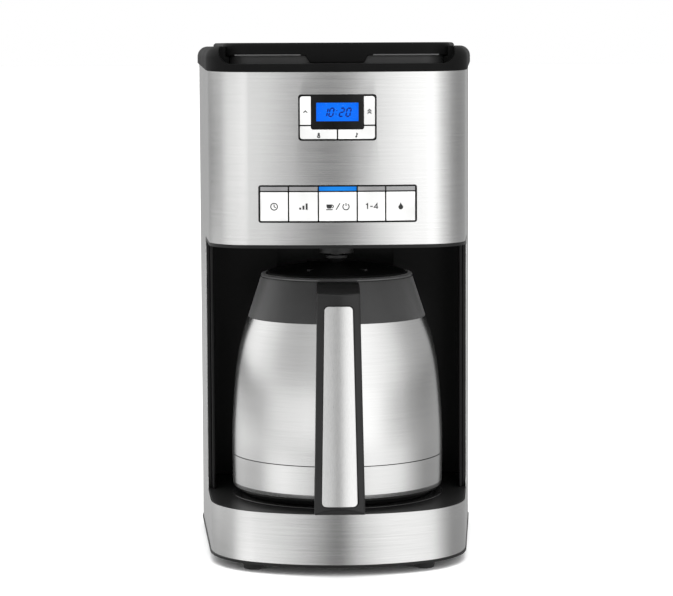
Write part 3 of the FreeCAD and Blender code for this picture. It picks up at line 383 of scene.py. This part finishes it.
body_steel = brushed_steel("body_steel", STEEL_COLOUR, 0.22, (14.0, 14.0, 2600.0), 0.000004)
carafe_steel = brushed_steel("carafe_steel", STEEL_COLOUR, 0.24, (16.0, 16.0, 2300.0), 0.0000022, 0.045)
inlay_steel = brushed_steel("inlay_steel", STEEL_COLOUR, 0.30, (1900.0, 1900.0, 18.0), 0.000004)
print("steels", body_steel.name, carafe_steel.name, inlay_steel.name)

# %% [markdown]
# **Plastics.** Moulds are eroded by sparks to leave a fine grain, and no moulding is equally glossy all
# over. One function makes all the plastics: a fine noise for the grain, a broad one for the uneven gloss
# and shade. What differs from part to part is only the colour, the roughness, the depth of the grain and
# the shine. Two of the greys also have a thin haze, which lightens them where they turn away.

# %% Plastics
def moulded(name, colour, roughness, grain=0.00002, scale=2200.0, shine=0.5, haze=0.0):
    """Moulded plastic: a fine spark-eroded grain and a slightly uneven gloss."""
    finish = Finish(name, Specular_IOR_Level=shine, Sheen_Weight=haze, Sheen_Roughness=0.4)
    fine = finish.noise((scale, scale, scale), detail=2.0)
    broad = finish.noise((35.0, 35.0, 35.0), detail=2.0)
    dark, light = tinted(colour, 0.88), tinted(colour, 1.12)
    finish.set("Base Color", finish.mixed(broad.between(0.3, 0.7), dark, light))
    finish.set("Roughness", fine * 0.10 + broad * 0.08 + (roughness - 0.09))
    finish.bump(fine, grain)
    return finish.material


black_housing = moulded("black_housing", grey(0.006), 0.40, shine=0.22)
collar_black = moulded("collar_black", grey(0.004), 0.46, shine=0.05)
bay_black = moulded("bay_black", grey(0.004), 0.34, grain=0.000008, shine=0.16)
deck_black = moulded("deck_black", grey(0.008), 0.24, grain=0.000006, shine=0.5)
inner_plastic = moulded("inner_plastic", grey(0.018), 0.50)
gloss_black = moulded("gloss_black", grey(0.004), 0.16, grain=0.000002, scale=900.0, shine=0.25)
grip_black = moulded("grip_black", grey(0.007), 0.34, grain=0.000006, shine=0.28)
collar_grey = moulded("collar_grey", grey(0.024), 0.42, grain=0.000012, shine=0.35, haze=0.22)
# paler than the black and grey parts it sits on: the extra paleness is a painted highlight for the line of
# light on the rounded beads
bead_grey = moulded("bead_grey", grey(0.055), 0.32, grain=0.000006, shine=0.5, haze=0.15)
grey_plastic = moulded("grey_plastic", (0.040, 0.040, 0.042), 0.46)
silver_button = moulded("silver_button", (0.52, 0.52, 0.515), 0.36, grain=0.000006, scale=1500.0, shine=0.3)
lens_grey = moulded("lens_grey", (0.17, 0.17, 0.172), 0.30, grain=0.000003, shine=0.4)
printed_ink = moulded("printed_ink", grey(0.020), 0.50, grain=0.000002, shine=0.25)
pale_ink = moulded("pale_ink", grey(0.45), 0.50, grain=0.000002, shine=0.25)
rubber = moulded("rubber", grey(0.012), 0.72, grain=0.00003, scale=1400.0, shine=0.3)
silicone = moulded("silicone", (0.62, 0.62, 0.60), 0.45, grain=0.00001)
board_green = moulded("board_green", (0.012, 0.10, 0.035), 0.35, grain=0.00001, scale=900.0)
tank_plastic = moulded("tank_plastic", (0.05, 0.055, 0.06), 0.20, grain=0.000004)
aluminium = brushed_steel("aluminium", (0.75, 0.75, 0.76), 0.38, (900.0, 30.0, 900.0), 0.000012)
screw_metal = brushed_steel("screw_metal", (0.58, 0.58, 0.57), 0.30, (1200.0, 1200.0, 300.0), 0.00001)

print("materials so far", len(bpy.data.materials))

# %% [markdown]
# **Lights and windows.** The display and the middle lens shine by themselves. A lamp behind clear plastic
# would be truer, but it would light the whole panel and be slow to clean up; an emission colour that falls
# off a little towards the ends reads the same. The clear parts let what is behind them through by their
# alpha, instead of bending light as thick glass would.

# %% Lights in the panels
def glowing(name, edge, middle, strength, centre, reach):
    """A lit plastic lens: brightest in its middle, a little deeper towards its ends."""
    finish = Finish(name, Roughness=0.25, Specular_IOR_Level=0.1, Emission_Strength=strength)
    across = ((finish.axis("X") - centre.x) / reach).maths("ABSOLUTE").between(0.2, 1.1)
    cells = finish.noise((420.0, 420.0, 420.0), detail=1.0)
    glow = finish.mixed(across * 0.8 + cells * 0.2, middle, edge)
    finish.set("Base Color", finish.mixed(0.94, glow, grey(0.0)))
    finish.set("Emission Color", glow)
    return finish.material


lens_span = Span("brew_lens")
display_span = Span("lcd_module")
lens_blue = glowing("lens_blue", (0.008, 0.20, 0.74), (0.012, 0.25, 0.82), 0.95,
                    lens_span.middle, lens_span.size.x / 2)
display_blue = glowing("display_blue", (0.001, 0.150, 1.0), (0.002, 0.180, 1.0), 1.0,
                       display_span.middle, display_span.size.x / 2)


def window_plastic(name, colour, cover):
    """See-through plastic. cover is how much of what lies behind is hidden."""
    finish = Finish(name, Alpha=cover, Specular_IOR_Level=0.3)
    smear = finish.noise((40.0, 40.0, 40.0), detail=2.0)
    finish.set("Base Color", finish.mixed(smear, tinted(colour, 0.85), tinted(colour, 1.15)))
    finish.set("Roughness", smear * 0.06 + 0.04)
    return finish.material


display_cover = window_plastic("display_cover", grey(0.02), 0.04)
level_cover = window_plastic("level_cover", (0.10, 0.11, 0.12), 0.72)
print("lights and windows", lens_blue.name, display_blue.name, display_cover.name, level_cover.name)

# %% [markdown]
# **Which finish goes where.** The record names a material slot for every node. One table joins each slot to
# its finish, so every node gets a material here. A second, short table then gives nine nodes a finish of
# their own, because neighbours of one material are not equally glossy.

# %% Finishes by slot
finish_of_slot = {
    "body_steel": body_steel, "carafe_steel": carafe_steel, "black_housing": black_housing,
    "gloss_black": gloss_black, "grey_plastic": grey_plastic, "inner_plastic": inner_plastic,
    "clear_plastic": display_cover, "tank_plastic": tank_plastic, "rubber": rubber, "silicone": silicone,
    "silver_button": silver_button, "lens_grey": lens_grey, "lens_blue": lens_blue,
    "display_blue": display_blue, "aluminium": aluminium, "screw_steel": screw_metal,
    "circuit_board": board_green, "spring_steel": screw_metal,
}
slot_of_node = {row["node"]: row["material_slot"] for row in frame["record"]["subparts"]}
for node_name, node in nodes.items():
    node.data.materials.clear()
    node.data.materials.append(finish_of_slot[slot_of_node[node_name]])
OWN_FINISH = {
    "handle_inlay": inlay_steel, "level_window": level_cover, "bay_liner": bay_black, "head_floor": bay_black,
    "carafe_platform": deck_black, "top_collar": collar_black, "lid_cover": collar_black,
    "carafe_handle": grip_black, "carafe_collar": collar_grey,
}
for node_name, finish in OWN_FINISH.items():
    nodes[node_name].data.materials[0] = finish
print("finishes set on", len(nodes), "nodes")

# %% [markdown]
# **Rounded edges.** No moulded or pressed edge is perfectly sharp, and the thin bright line on a rounded
# edge is what makes a part look real. Each visible housing is copied from its frame node, its flat faces
# are merged, and every sharp edge gets a narrow bevel. The copy then stands in for the node.

# %% Copy a node and round its edges
def mesh_of(node_name):
    """The node's shape as an editable mesh, with its flat faces merged."""
    node = nodes[node_name]
    work = bmesh.new()
    work.from_mesh(node.data)
    work.transform(node.matrix_world)
    bmesh.ops.remove_doubles(work, verts=work.verts, dist=0.002 * MM)
    bmesh.ops.dissolve_limit(work, angle_limit=math.radians(0.4), verts=work.verts, edges=work.edges)
    return work


def round_edges(work, width, segments=2, sharper_than=32, where=None):
    """Bevels every edge whose faces meet at more than this angle, in degrees."""
    limit = math.radians(sharper_than)
    sharp = [edge for edge in work.edges if len(edge.link_faces) == 2 and edge.calc_face_angle(0) > limit]
    if where:
        sharp = [edge for edge in sharp if where((edge.verts[0].co + edge.verts[1].co) / 2)]
    corners = list({corner for edge in sharp for corner in edge.verts})
    bmesh.ops.bevel(work, geom=sharp + corners, offset=width, offset_type="OFFSET", segments=segments,
                    profile=0.5, affect="EDGES", clamp_overlap=False)


def made(name, work, finish, body, slot, smooth_below=40):
    """Turns an edited mesh into a piece that rides on its body."""
    bmesh.ops.recalc_face_normals(work, faces=work.faces)
    mesh = bpy.data.meshes.new(name)
    work.to_mesh(mesh)
    work.free()
    mesh.shade_smooth()
    mesh.set_sharp_from_angle(angle=math.radians(smooth_below))
    mesh.materials.append(finish)
    piece = bpy.data.objects.new(name, mesh)
    bpy.context.scene.collection.objects.link(piece)
    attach(piece, body)
    return piece


def even_shading(piece):
    """Keeps wide flat faces flat-looking beside their bevels."""
    weighted = piece.modifiers.new("even_shading", "WEIGHTED_NORMAL")
    weighted.keep_sharp = True
    weighted.weight = 80


def softened(node_name, width, segments=2, where=None):
    work = mesh_of(node_name)
    round_edges(work, width, segments, where=where)
    slot = slot_of_node[node_name]
    finish = OWN_FINISH.get(node_name, finish_of_slot[slot])
    piece = made(node_name + "_skin", work, finish, body_of_node[node_name], slot)
    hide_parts(node_name)
    even_shading(piece)
    return piece


print("rounding tools ready")

# %% [markdown]
# **Which parts are rounded, and how much.** The widths are in millimetres. Big mouldings have soft edges of
# about half a millimetre; folded steel and small lenses are crisper. A bevel modifier could do this too;
# cutting the bevel into the mesh keeps control of which edges get it and leaves a plain mesh.

# %% Housings with rounded edges
ROUNDED = {
    "top_collar": 0.5, "lid_cover": 0.6, "bay_liner": 0.3, "head_floor": 0.25, "base_pan": 0.3,
    "button_frame": 0.2, "clock_bezel": 0.2, "cord_gland": 0.4, "carafe_platform": 0.25, "carafe_lid": 0.35,
    "drip_valve": 0.2, "rear_housing": 0.5, "base_housing": 0.2, "feet": 0.5, "steel_wrap": 0.15,
    "level_window": 0.15, "indicator_lenses": 0.15, "brew_lens": 0.15, "carafe_foot_ring": 0.25,
    "carafe_collar": 0.3,
}
for node_name, width in ROUNDED.items():
    piece = softened(node_name, width * MM)
    print(node_name, len(piece.data.polygons), "faces")

# %% [markdown]
# **Buttons.** Nine silver caps stand a little proud of their black frame. They get a rounder edge in three
# steps, since a finger touches them and the edge catches the light in the panel.

# %% Buttons
BUTTONS = [name for name in nodes if name.startswith("button_") and name != "button_frame"]
for node_name in BUTTONS:
    softened(node_name, 0.35 * MM, 3)
print("buttons", len(BUTTONS))

# %% [markdown]
# **Handle.** The grip is a soft-edged black moulding with a strip of brushed steel let into its front. The
# grip has the widest bevel of all, and the strip a narrow one, so that it looks pressed from sheet.

# %% Handle and its inlay
GRIP_ROUND = 0.9 * MM
INLAY_ROUND = 0.3 * MM
for piece in (softened("carafe_handle", GRIP_ROUND, 3), softened("handle_inlay", INLAY_ROUND)):
    print(piece.name, len(piece.data.polygons), "faces")

# %% [markdown]
# **Printed symbols.** The buttons carry small dark prints. They are not painted by a texture, which would
# blur and need an image; each is a very thin prism that follows the curved face of its own button and rides
# on it. Lines are ribbons: each point of a line is moved half a width to both sides, at the corner's own
# angle, so that neighbouring strokes meet without a gap or an overlap.

# %% Thin prisms on a surface
INK = 0.06 * MM
SYMBOL_SCALE = 1.2


def corner_sides(points, width, closed):
    """The left and right edge of a line of this width, as (u, v) points."""
    count = len(points)
    left, right = [], []
    for index, point in enumerate(points):
        before = points[index - 1] if closed or index > 0 else None
        after = points[(index + 1) % count] if closed or index < count - 1 else None
        steps = []
        if before is not None:
            steps.append((Vector(point) - Vector(before)).normalized())
        if after is not None:
            steps.append((Vector(after) - Vector(point)).normalized())
        along = sum(steps, Vector((0, 0))).normalized()
        across = Vector((-along.y, along.x))
        stretch = width / 2 / max(0.35, abs(Vector((-steps[0].y, steps[0].x)).dot(across)))
        left.append(Vector(point) + across * stretch)
        right.append(Vector(point) - across * stretch)
    return left, right


def join_rings(work, rings, closed=False):
    """Joins each ring of points to the next, and caps the two ends unless the last meets the first."""
    count = len(rings[0])
    pairs = list(zip(rings, rings[1:]))
    if closed:
        pairs.append((rings[-1], rings[0]))
    for first, second in pairs:
        for side in range(count):
            other = (side + 1) % count
            work.faces.new((first[side], first[other], second[other], second[side]))
    if not closed:
        work.faces.new(rings[0])
        work.faces.new(list(reversed(rings[-1])))


def add_ribbon(work, points, width, lay, closed=False):
    """Adds a line as a closed prism. lay turns (u, v, front or back) into a point in space."""
    left, right = corner_sides(points, width, closed)
    rings = []
    for a, b in zip(left, right):
        places = (lay(a, True), lay(b, True), lay(b, False), lay(a, False))
        rings.append([work.verts.new(place) for place in places])
    join_rings(work, rings, closed)


def add_shape(work, outline, lay):
    """Adds a filled outline as a closed prism."""
    front = [work.verts.new(lay(Vector(point), True)) for point in outline]
    back = [work.verts.new(lay(Vector(point), False)) for point in outline]
    work.faces.new(front)
    work.faces.new(list(reversed(back)))
    for index in range(len(outline)):
        other = (index + 1) % len(outline)
        work.faces.new((front[index], back[index], back[other], front[other]))


def arc(centre, radius, start, end, steps=20):
    """Points along an arc, in degrees, counted from the right and upwards."""
    angles = [math.radians(start + (end - start) * index / steps) for index in range(steps + 1)]
    return [(centre[0] + radius * math.cos(a), centre[1] + radius * math.sin(a)) for a in angles]


def circle(centre, radius, steps=28):
    return arc(centre, radius, 0, 360, steps)[:-1]


print("ink is", INK / MM, "mm thick")

# %% [markdown]
# **The head's curved front.** All button caps share one wide arc, a little in front of the steel. A print
# has to lie on that arc, or its ends would sink into the cap. So a symbol is drawn flat, in millimetres,
# and a small function carries each of its points onto the arc.

# %% The head's curved front
FRAME_PROUD = 0.3 * MM
SUNK = 0.2 * MM
HEAD_FRONT_Y = Span("button_frame").y0 + FRAME_PROUD
HEAD_FRONT_R = 450 * MM
CAP_PROUD = HEAD_FRONT_Y - Span("button_brew").y0


def on_cap(centre_x, centre_z):
    """Lays symbols, given in millimetres, on the curved face that all button caps share."""
    def lay(point, front):
        x = centre_x + point.x * SYMBOL_SCALE * MM
        reach = HEAD_FRONT_R + CAP_PROUD + (INK if front else -SUNK)
        y = HEAD_FRONT_Y + HEAD_FRONT_R - math.sqrt(reach * reach - x * x)
        return (x, y, centre_z + point.y * SYMBOL_SCALE * MM)
    return lay


print("caps stand out", round(CAP_PROUD / MM, 2), "mm")

# %% [markdown]
# **Symbols.** Each symbol is two lists: lines, given by their points and whether they close, and filled
# shapes, given by their outline. They are generic signs without words, and small on the two lower clock
# buttons, where the display's surround leaves only a narrow strip.

# %% Symbols
LINE = 0.56
FOOT_SYMBOL_X = 12.6 * MM
FOOT_SYMBOL_Z = 2.35 * MM
SIDE_SYMBOL_DROP = 0.8 * MM
SYMBOLS = {
    # a clock for the timer
    "button_program": ([(circle((0, 0), 1.9), True), ([(0, 1.25), (0, 0), (0.95, -0.55)], False)], []),
    # three rising bars for strong coffee
    "button_bold": ([], [[(x - 0.55, -1.7), (x + 0.55, -1.7), (x + 0.55, top), (x - 0.55, top)]
                         for x, top in ((-1.8, -0.5), (0.0, 0.6), (1.8, 1.8))]),
    # a cup beside the sign for on and off
    "button_brew": ([(arc((4.6, -0.1), 1.75, 125, 415), False), ([(4.6, 0.3), (4.6, 2.0)], False),
                     ([(-1.0, -1.9), (1.2, 1.9)], False), (arc((-3.3, 0.1), 0.8, 80, -80, 10), False),
                     ([(-6.6, -1.75), (-2.9, -1.75)], False)],
                    [[(-6.4, 1.2), (-3.2, 1.2), (-3.3, -0.4), (-3.9, -1.1), (-5.7, -1.1), (-6.3, -0.4)]]),
    # one to four cups
    "button_small_batch": ([([(-3.0, 0.9), (-2.2, 1.5), (-2.2, -1.5)], False), ([(-0.7, 0), (0.7, 0)], False),
                            ([(3.1, -1.5), (3.1, 1.5), (1.6, -0.5), (3.8, -0.5)], False)], []),
    # a drop for cleaning
    "button_clean": ([], [[(0, 2.1), (0.5, 1.1)] + arc((0, -0.5), 1.35, 20, -200, 18) + [(-0.5, 1.1)]]),
    # one step up for the hour, two for the minute
    "button_hour": ([([(-1.1, -0.5), (0, 0.6), (1.1, -0.5)], False)], []),
    "button_minute": ([([(-1.1, y - 0.5), (0, y + 0.6), (1.1, y - 0.5)], False) for y in (-0.65, 0.65)], []),
    # a thermometer for the temperature
    "button_temperature": ([(arc((0, -0.6), 0.62, 120, 420, 18) + arc((0, 1.0), 0.31, 0, 180, 8), True)], []),
    # a note for the tone
    "button_tone": ([([(0.3, -0.8), (0.3, 1.1), (0.95, 0.6)], False)], [circle((-0.1, -0.75), 0.5, 16)]),
}


def face_centre(node_name):
    """The middle of a button's front face, as seen from the front."""
    span = Span(node_name)
    x = span.middle.x
    if node_name in ("button_tone", "button_temperature"):
        return math.copysign(FOOT_SYMBOL_X, x), span.z0 + FOOT_SYMBOL_Z
    if node_name in ("button_hour", "button_minute"):
        return x, span.middle.z - SIDE_SYMBOL_DROP
    return x, span.middle.z


for node_name, (lines, shapes) in SYMBOLS.items():
    lay = on_cap(*face_centre(node_name))
    work = bmesh.new()
    for points, closed in lines:
        add_ribbon(work, points, LINE, lay, closed)
    for outline in shapes:
        add_shape(work, outline, lay)
    made(node_name + "_print", work, printed_ink, body_of_node[node_name], "rubber", smooth_below=20)
print("symbols", len(SYMBOLS))

# %% [markdown]
# **Clock digits.** The display shows a time in slanted figures of seven bars. Each bar is a six-sided prism
# in front of the lit plate and behind the clear window, so the figures keep their depth when seen from the
# side.

# %% Clock digits
DIGIT_W = 2.6
DIGIT_H = 5.5
BAR = 0.98
SLANT = 0.22
BAR_SHORT = 0.09
FIGURE_DROP = 0.3
FIGURE_FRONT = 0.12 * MM
FIGURE_BACK = 0.02 * MM
DOT_HALF = 0.36
LIT_BARS = {"0": "abcdef", "1": "bc", "2": "abged"}
half_w, half_h = DIGIT_W / 2, DIGIT_H / 2
BAR_ENDS = {
    "a": ((-half_w, half_h), (half_w, half_h)), "b": ((half_w, half_h), (half_w, 0)),
    "c": ((half_w, 0), (half_w, -half_h)), "d": ((half_w, -half_h), (-half_w, -half_h)),
    "e": ((-half_w, -half_h), (-half_w, 0)), "f": ((-half_w, 0), (-half_w, half_h)),
    "g": ((-half_w, 0), (half_w, 0)),
}
PLATE_Y = display_span.y0
display_z = Span("display_window").middle.z
navy = moulded("navy_figure", (0.0015, 0.010, 0.16), 0.4, grain=0.000001, shine=0.1)


def on_display(centre_x):
    """Lays figures on the lit plate, with their slant."""
    def lay(point, front):
        x = centre_x * MM + (point.x + SLANT * point.y) * MM
        y = PLATE_Y - (FIGURE_FRONT if front else FIGURE_BACK)
        return (x, y, display_z + (point.y - FIGURE_DROP) * MM)
    return lay


def bar_outline(start, end):
    """A bar with pointed ends, drawn a little short so that bars don't touch."""
    start, end = Vector(start), Vector(end)
    along = (end - start).normalized()
    across = Vector((-along.y, along.x)) * BAR / 2
    tip = along * BAR / 2
    first, last = start + along * BAR_SHORT, end - along * BAR_SHORT
    return [first, first + tip + across, last - tip + across, last, last - tip - across, first + tip - across]


figures = bmesh.new()
for figure, centre_x in (("1", -8.0), ("0", -4.0), ("2", 3.0), ("0", 7.5)):
    for bar in LIT_BARS[figure]:
        add_shape(figures, bar_outline(*BAR_ENDS[bar]), on_display(centre_x))
for dot_y in (-1.2, 1.2):
    dot = [(x * DOT_HALF, dot_y + z * DOT_HALF) for x, z in ((-1, -1), (1, -1), (1, 1), (-1, 1))]
    add_shape(figures, dot, on_display(-0.6))
clock = made("clock_figures", figures, navy, "root", "display_blue", smooth_below=20)
print("clock figures", len(clock.data.polygons), "faces")

# %% [markdown]
# ** Bead on the carafe's collar.** A pale ring rounds off the top of the collar; its pale grey is partly a painted highlight for the light on its rounded edge. Under it, a thin black ring stands in for the shade of the gap below the bead: a painted shade line.
# A ring is a profile turned about the carafe's axis. It stops short of the pouring lip at the back.

# %% Turned rings
CARAFE_AXIS = (0.0, Span("carafe_shell").middle.y)


def turned(work, profile, start, end, steps=120):
    """Turns a closed (radius, z) outline, in millimetres, about the carafe's axis, between two angles."""
    rings = []
    for index in range(steps + 1):
        angle = math.radians(start + (end - start) * index / steps)
        rings.append([work.verts.new((CARAFE_AXIS[0] + r * MM * math.cos(angle),
                                      CARAFE_AXIS[1] + r * MM * math.sin(angle), z * MM))
                      for r, z in profile])
    join_rings(work, rings)


RIM_Z = Span("carafe_collar").z1 / MM
LIP_FREE = (126.0, 414.0)
bead = bmesh.new()
# the pale grey of this bead is partly a painted highlight for the light on its rounded top edge
turned(bead, [(50.4, RIM_Z - 0.3), (50.4, RIM_Z + 0.5), (52.3, RIM_Z + 0.6), (53.1, RIM_Z + 0.2),
              (53.5, RIM_Z - 0.4), (53.4, RIM_Z - 1.0), (53.0, RIM_Z - 1.3), (52.4, RIM_Z - 0.8)], *LIP_FREE)
made("collar_bead", bead, bead_grey, "carafe", "grey_plastic")
# a thin black ring, a little proud of the collar, put where there is only the shade of the gap under the
# bead: painted shade
gap_shade_ring = bmesh.new()
turned(gap_shade_ring, [(52.6, RIM_Z - 2.0), (53.68, RIM_Z - 2.0), (53.5, RIM_Z - 1.3), (52.6, RIM_Z - 1.3)],
       *LIP_FREE)
made("collar_groove", gap_shade_ring, rubber, "carafe", "rubber")
print("rings from", LIP_FREE[0], "to", LIP_FREE[1], "degrees")

# %% [markdown]
# ** A bead along the lid.** The lower front edge of the lid ends in a thin rolled bead on both sides of the pull tab. It follows the same arc as the lid's face and is half sunk in it, so it catches a line of light; its pale grey, lighter than the black lid, adds a painted highlight along that line.
# A small eight-sided ring is carried along the arc, and each ring is joined to the one before.

# %% Bead on the lid
LID_INSET = 10.6 * MM
LID_FACE_R = HEAD_FRONT_R - LID_INSET
LID_EDGE_Z = 351.6 * MM
LID_BEAD_R = 0.45 * MM
LID_BEAD_REACH = (24.5 * MM, 69.0 * MM)
RING_POINTS = 8
BEAD_STEPS = 24


def bead_ring(work, lean):
    """One ring of the bead, standing on the lid's face at an angle from the middle."""
    points = []
    for number in range(RING_POINTS):
        turn = math.tau * number / RING_POINTS
        reach = LID_FACE_R + LID_BEAD_R * math.cos(turn)
        points.append(work.verts.new((reach * math.sin(lean),
                                      HEAD_FRONT_Y + HEAD_FRONT_R - reach * math.cos(lean),
                                      LID_EDGE_Z + LID_BEAD_R * (1 + math.sin(turn)))))
    return points


for side, name in ((-1, "left"), (1, "right")):
    work = bmesh.new()
    first, last = (math.asin(side * x / LID_FACE_R) for x in LID_BEAD_REACH)
    join_rings(work, [bead_ring(work, first + (last - first) * step / BEAD_STEPS)
                      for step in range(BEAD_STEPS + 1)])
    # pale grey bead on the black lid: its paleness is a painted highlight along the lid's lower edge
    made("lid_bead_" + name, work, bead_grey, "lid", "grey_plastic", smooth_below=60)
    print("lid bead", name, "from", LID_BEAD_REACH[0] / MM, "to", LID_BEAD_REACH[1] / MM, "mm")

# %% [markdown]
# **Back of the machine.** The level window has a scale of short lines beside it, so that the tank can be
# filled by eye, and a blank plate sits where the maker's data would be.

# %% Level scale and plate
back_y = Span("rear_housing").y1
window_span = Span("level_window")


def on_back(point, front):
    return (point.x * MM, back_y + (INK if front else -SUNK), point.y * MM)


SCALE_GAP = 1.6
MARK_WIDTH = 0.6
LONG_MARK, SHORT_MARK = 5.0, 3.0
scale = bmesh.new()
low_mark, high_mark, marks = 104.0, 284.0, 11
edge_x = window_span.x0 / MM - SCALE_GAP
for index in range(marks):
    mark_z = low_mark + (high_mark - low_mark) * index / (marks - 1)
    length = LONG_MARK if index % 2 == 0 else SHORT_MARK
    add_ribbon(scale, [(edge_x - length, mark_z), (edge_x, mark_z)], MARK_WIDTH, on_back)
made("level_scale", scale, pale_ink, "root", "grey_plastic", smooth_below=20)

plate = bmesh.new()
plate_w, plate_h, plate_r, plate_z = 22.0, 13.0, 2.0, 30.0
plate_outline = []
for corner_x, corner_z, start in ((1, 1, 0), (-1, 1, 90), (-1, -1, 180), (1, -1, 270)):
    centre = (corner_x * (plate_w - plate_r), plate_z + corner_z * (plate_h - plate_r))
    plate_outline += arc(centre, plate_r, start, start + 90, 6)
add_shape(plate, plate_outline, on_back)
made("blank_plate", plate, screw_metal, "root", "screw_steel", smooth_below=20)
print("marks", marks, "plate", 2 * plate_w, "by", 2 * plate_h, "mm")

# %% [markdown]
# **Floor finish.** Paper is never one even white. A faint, broad mottle keeps the floor from looking like a
# hole, and it is weak enough not to be noticed as a pattern.

# %% Floor finish
pale = Finish("pale_floor", Roughness=0.6)
mottle = pale.noise((3.0, 3.0, 3.0), detail=2.0)
pale.set("Base Color", pale.mixed(mottle, grey(0.90), grey(0.93)))
floor.data.materials.append(pale.material)
print("floor finish", pale.material.name)
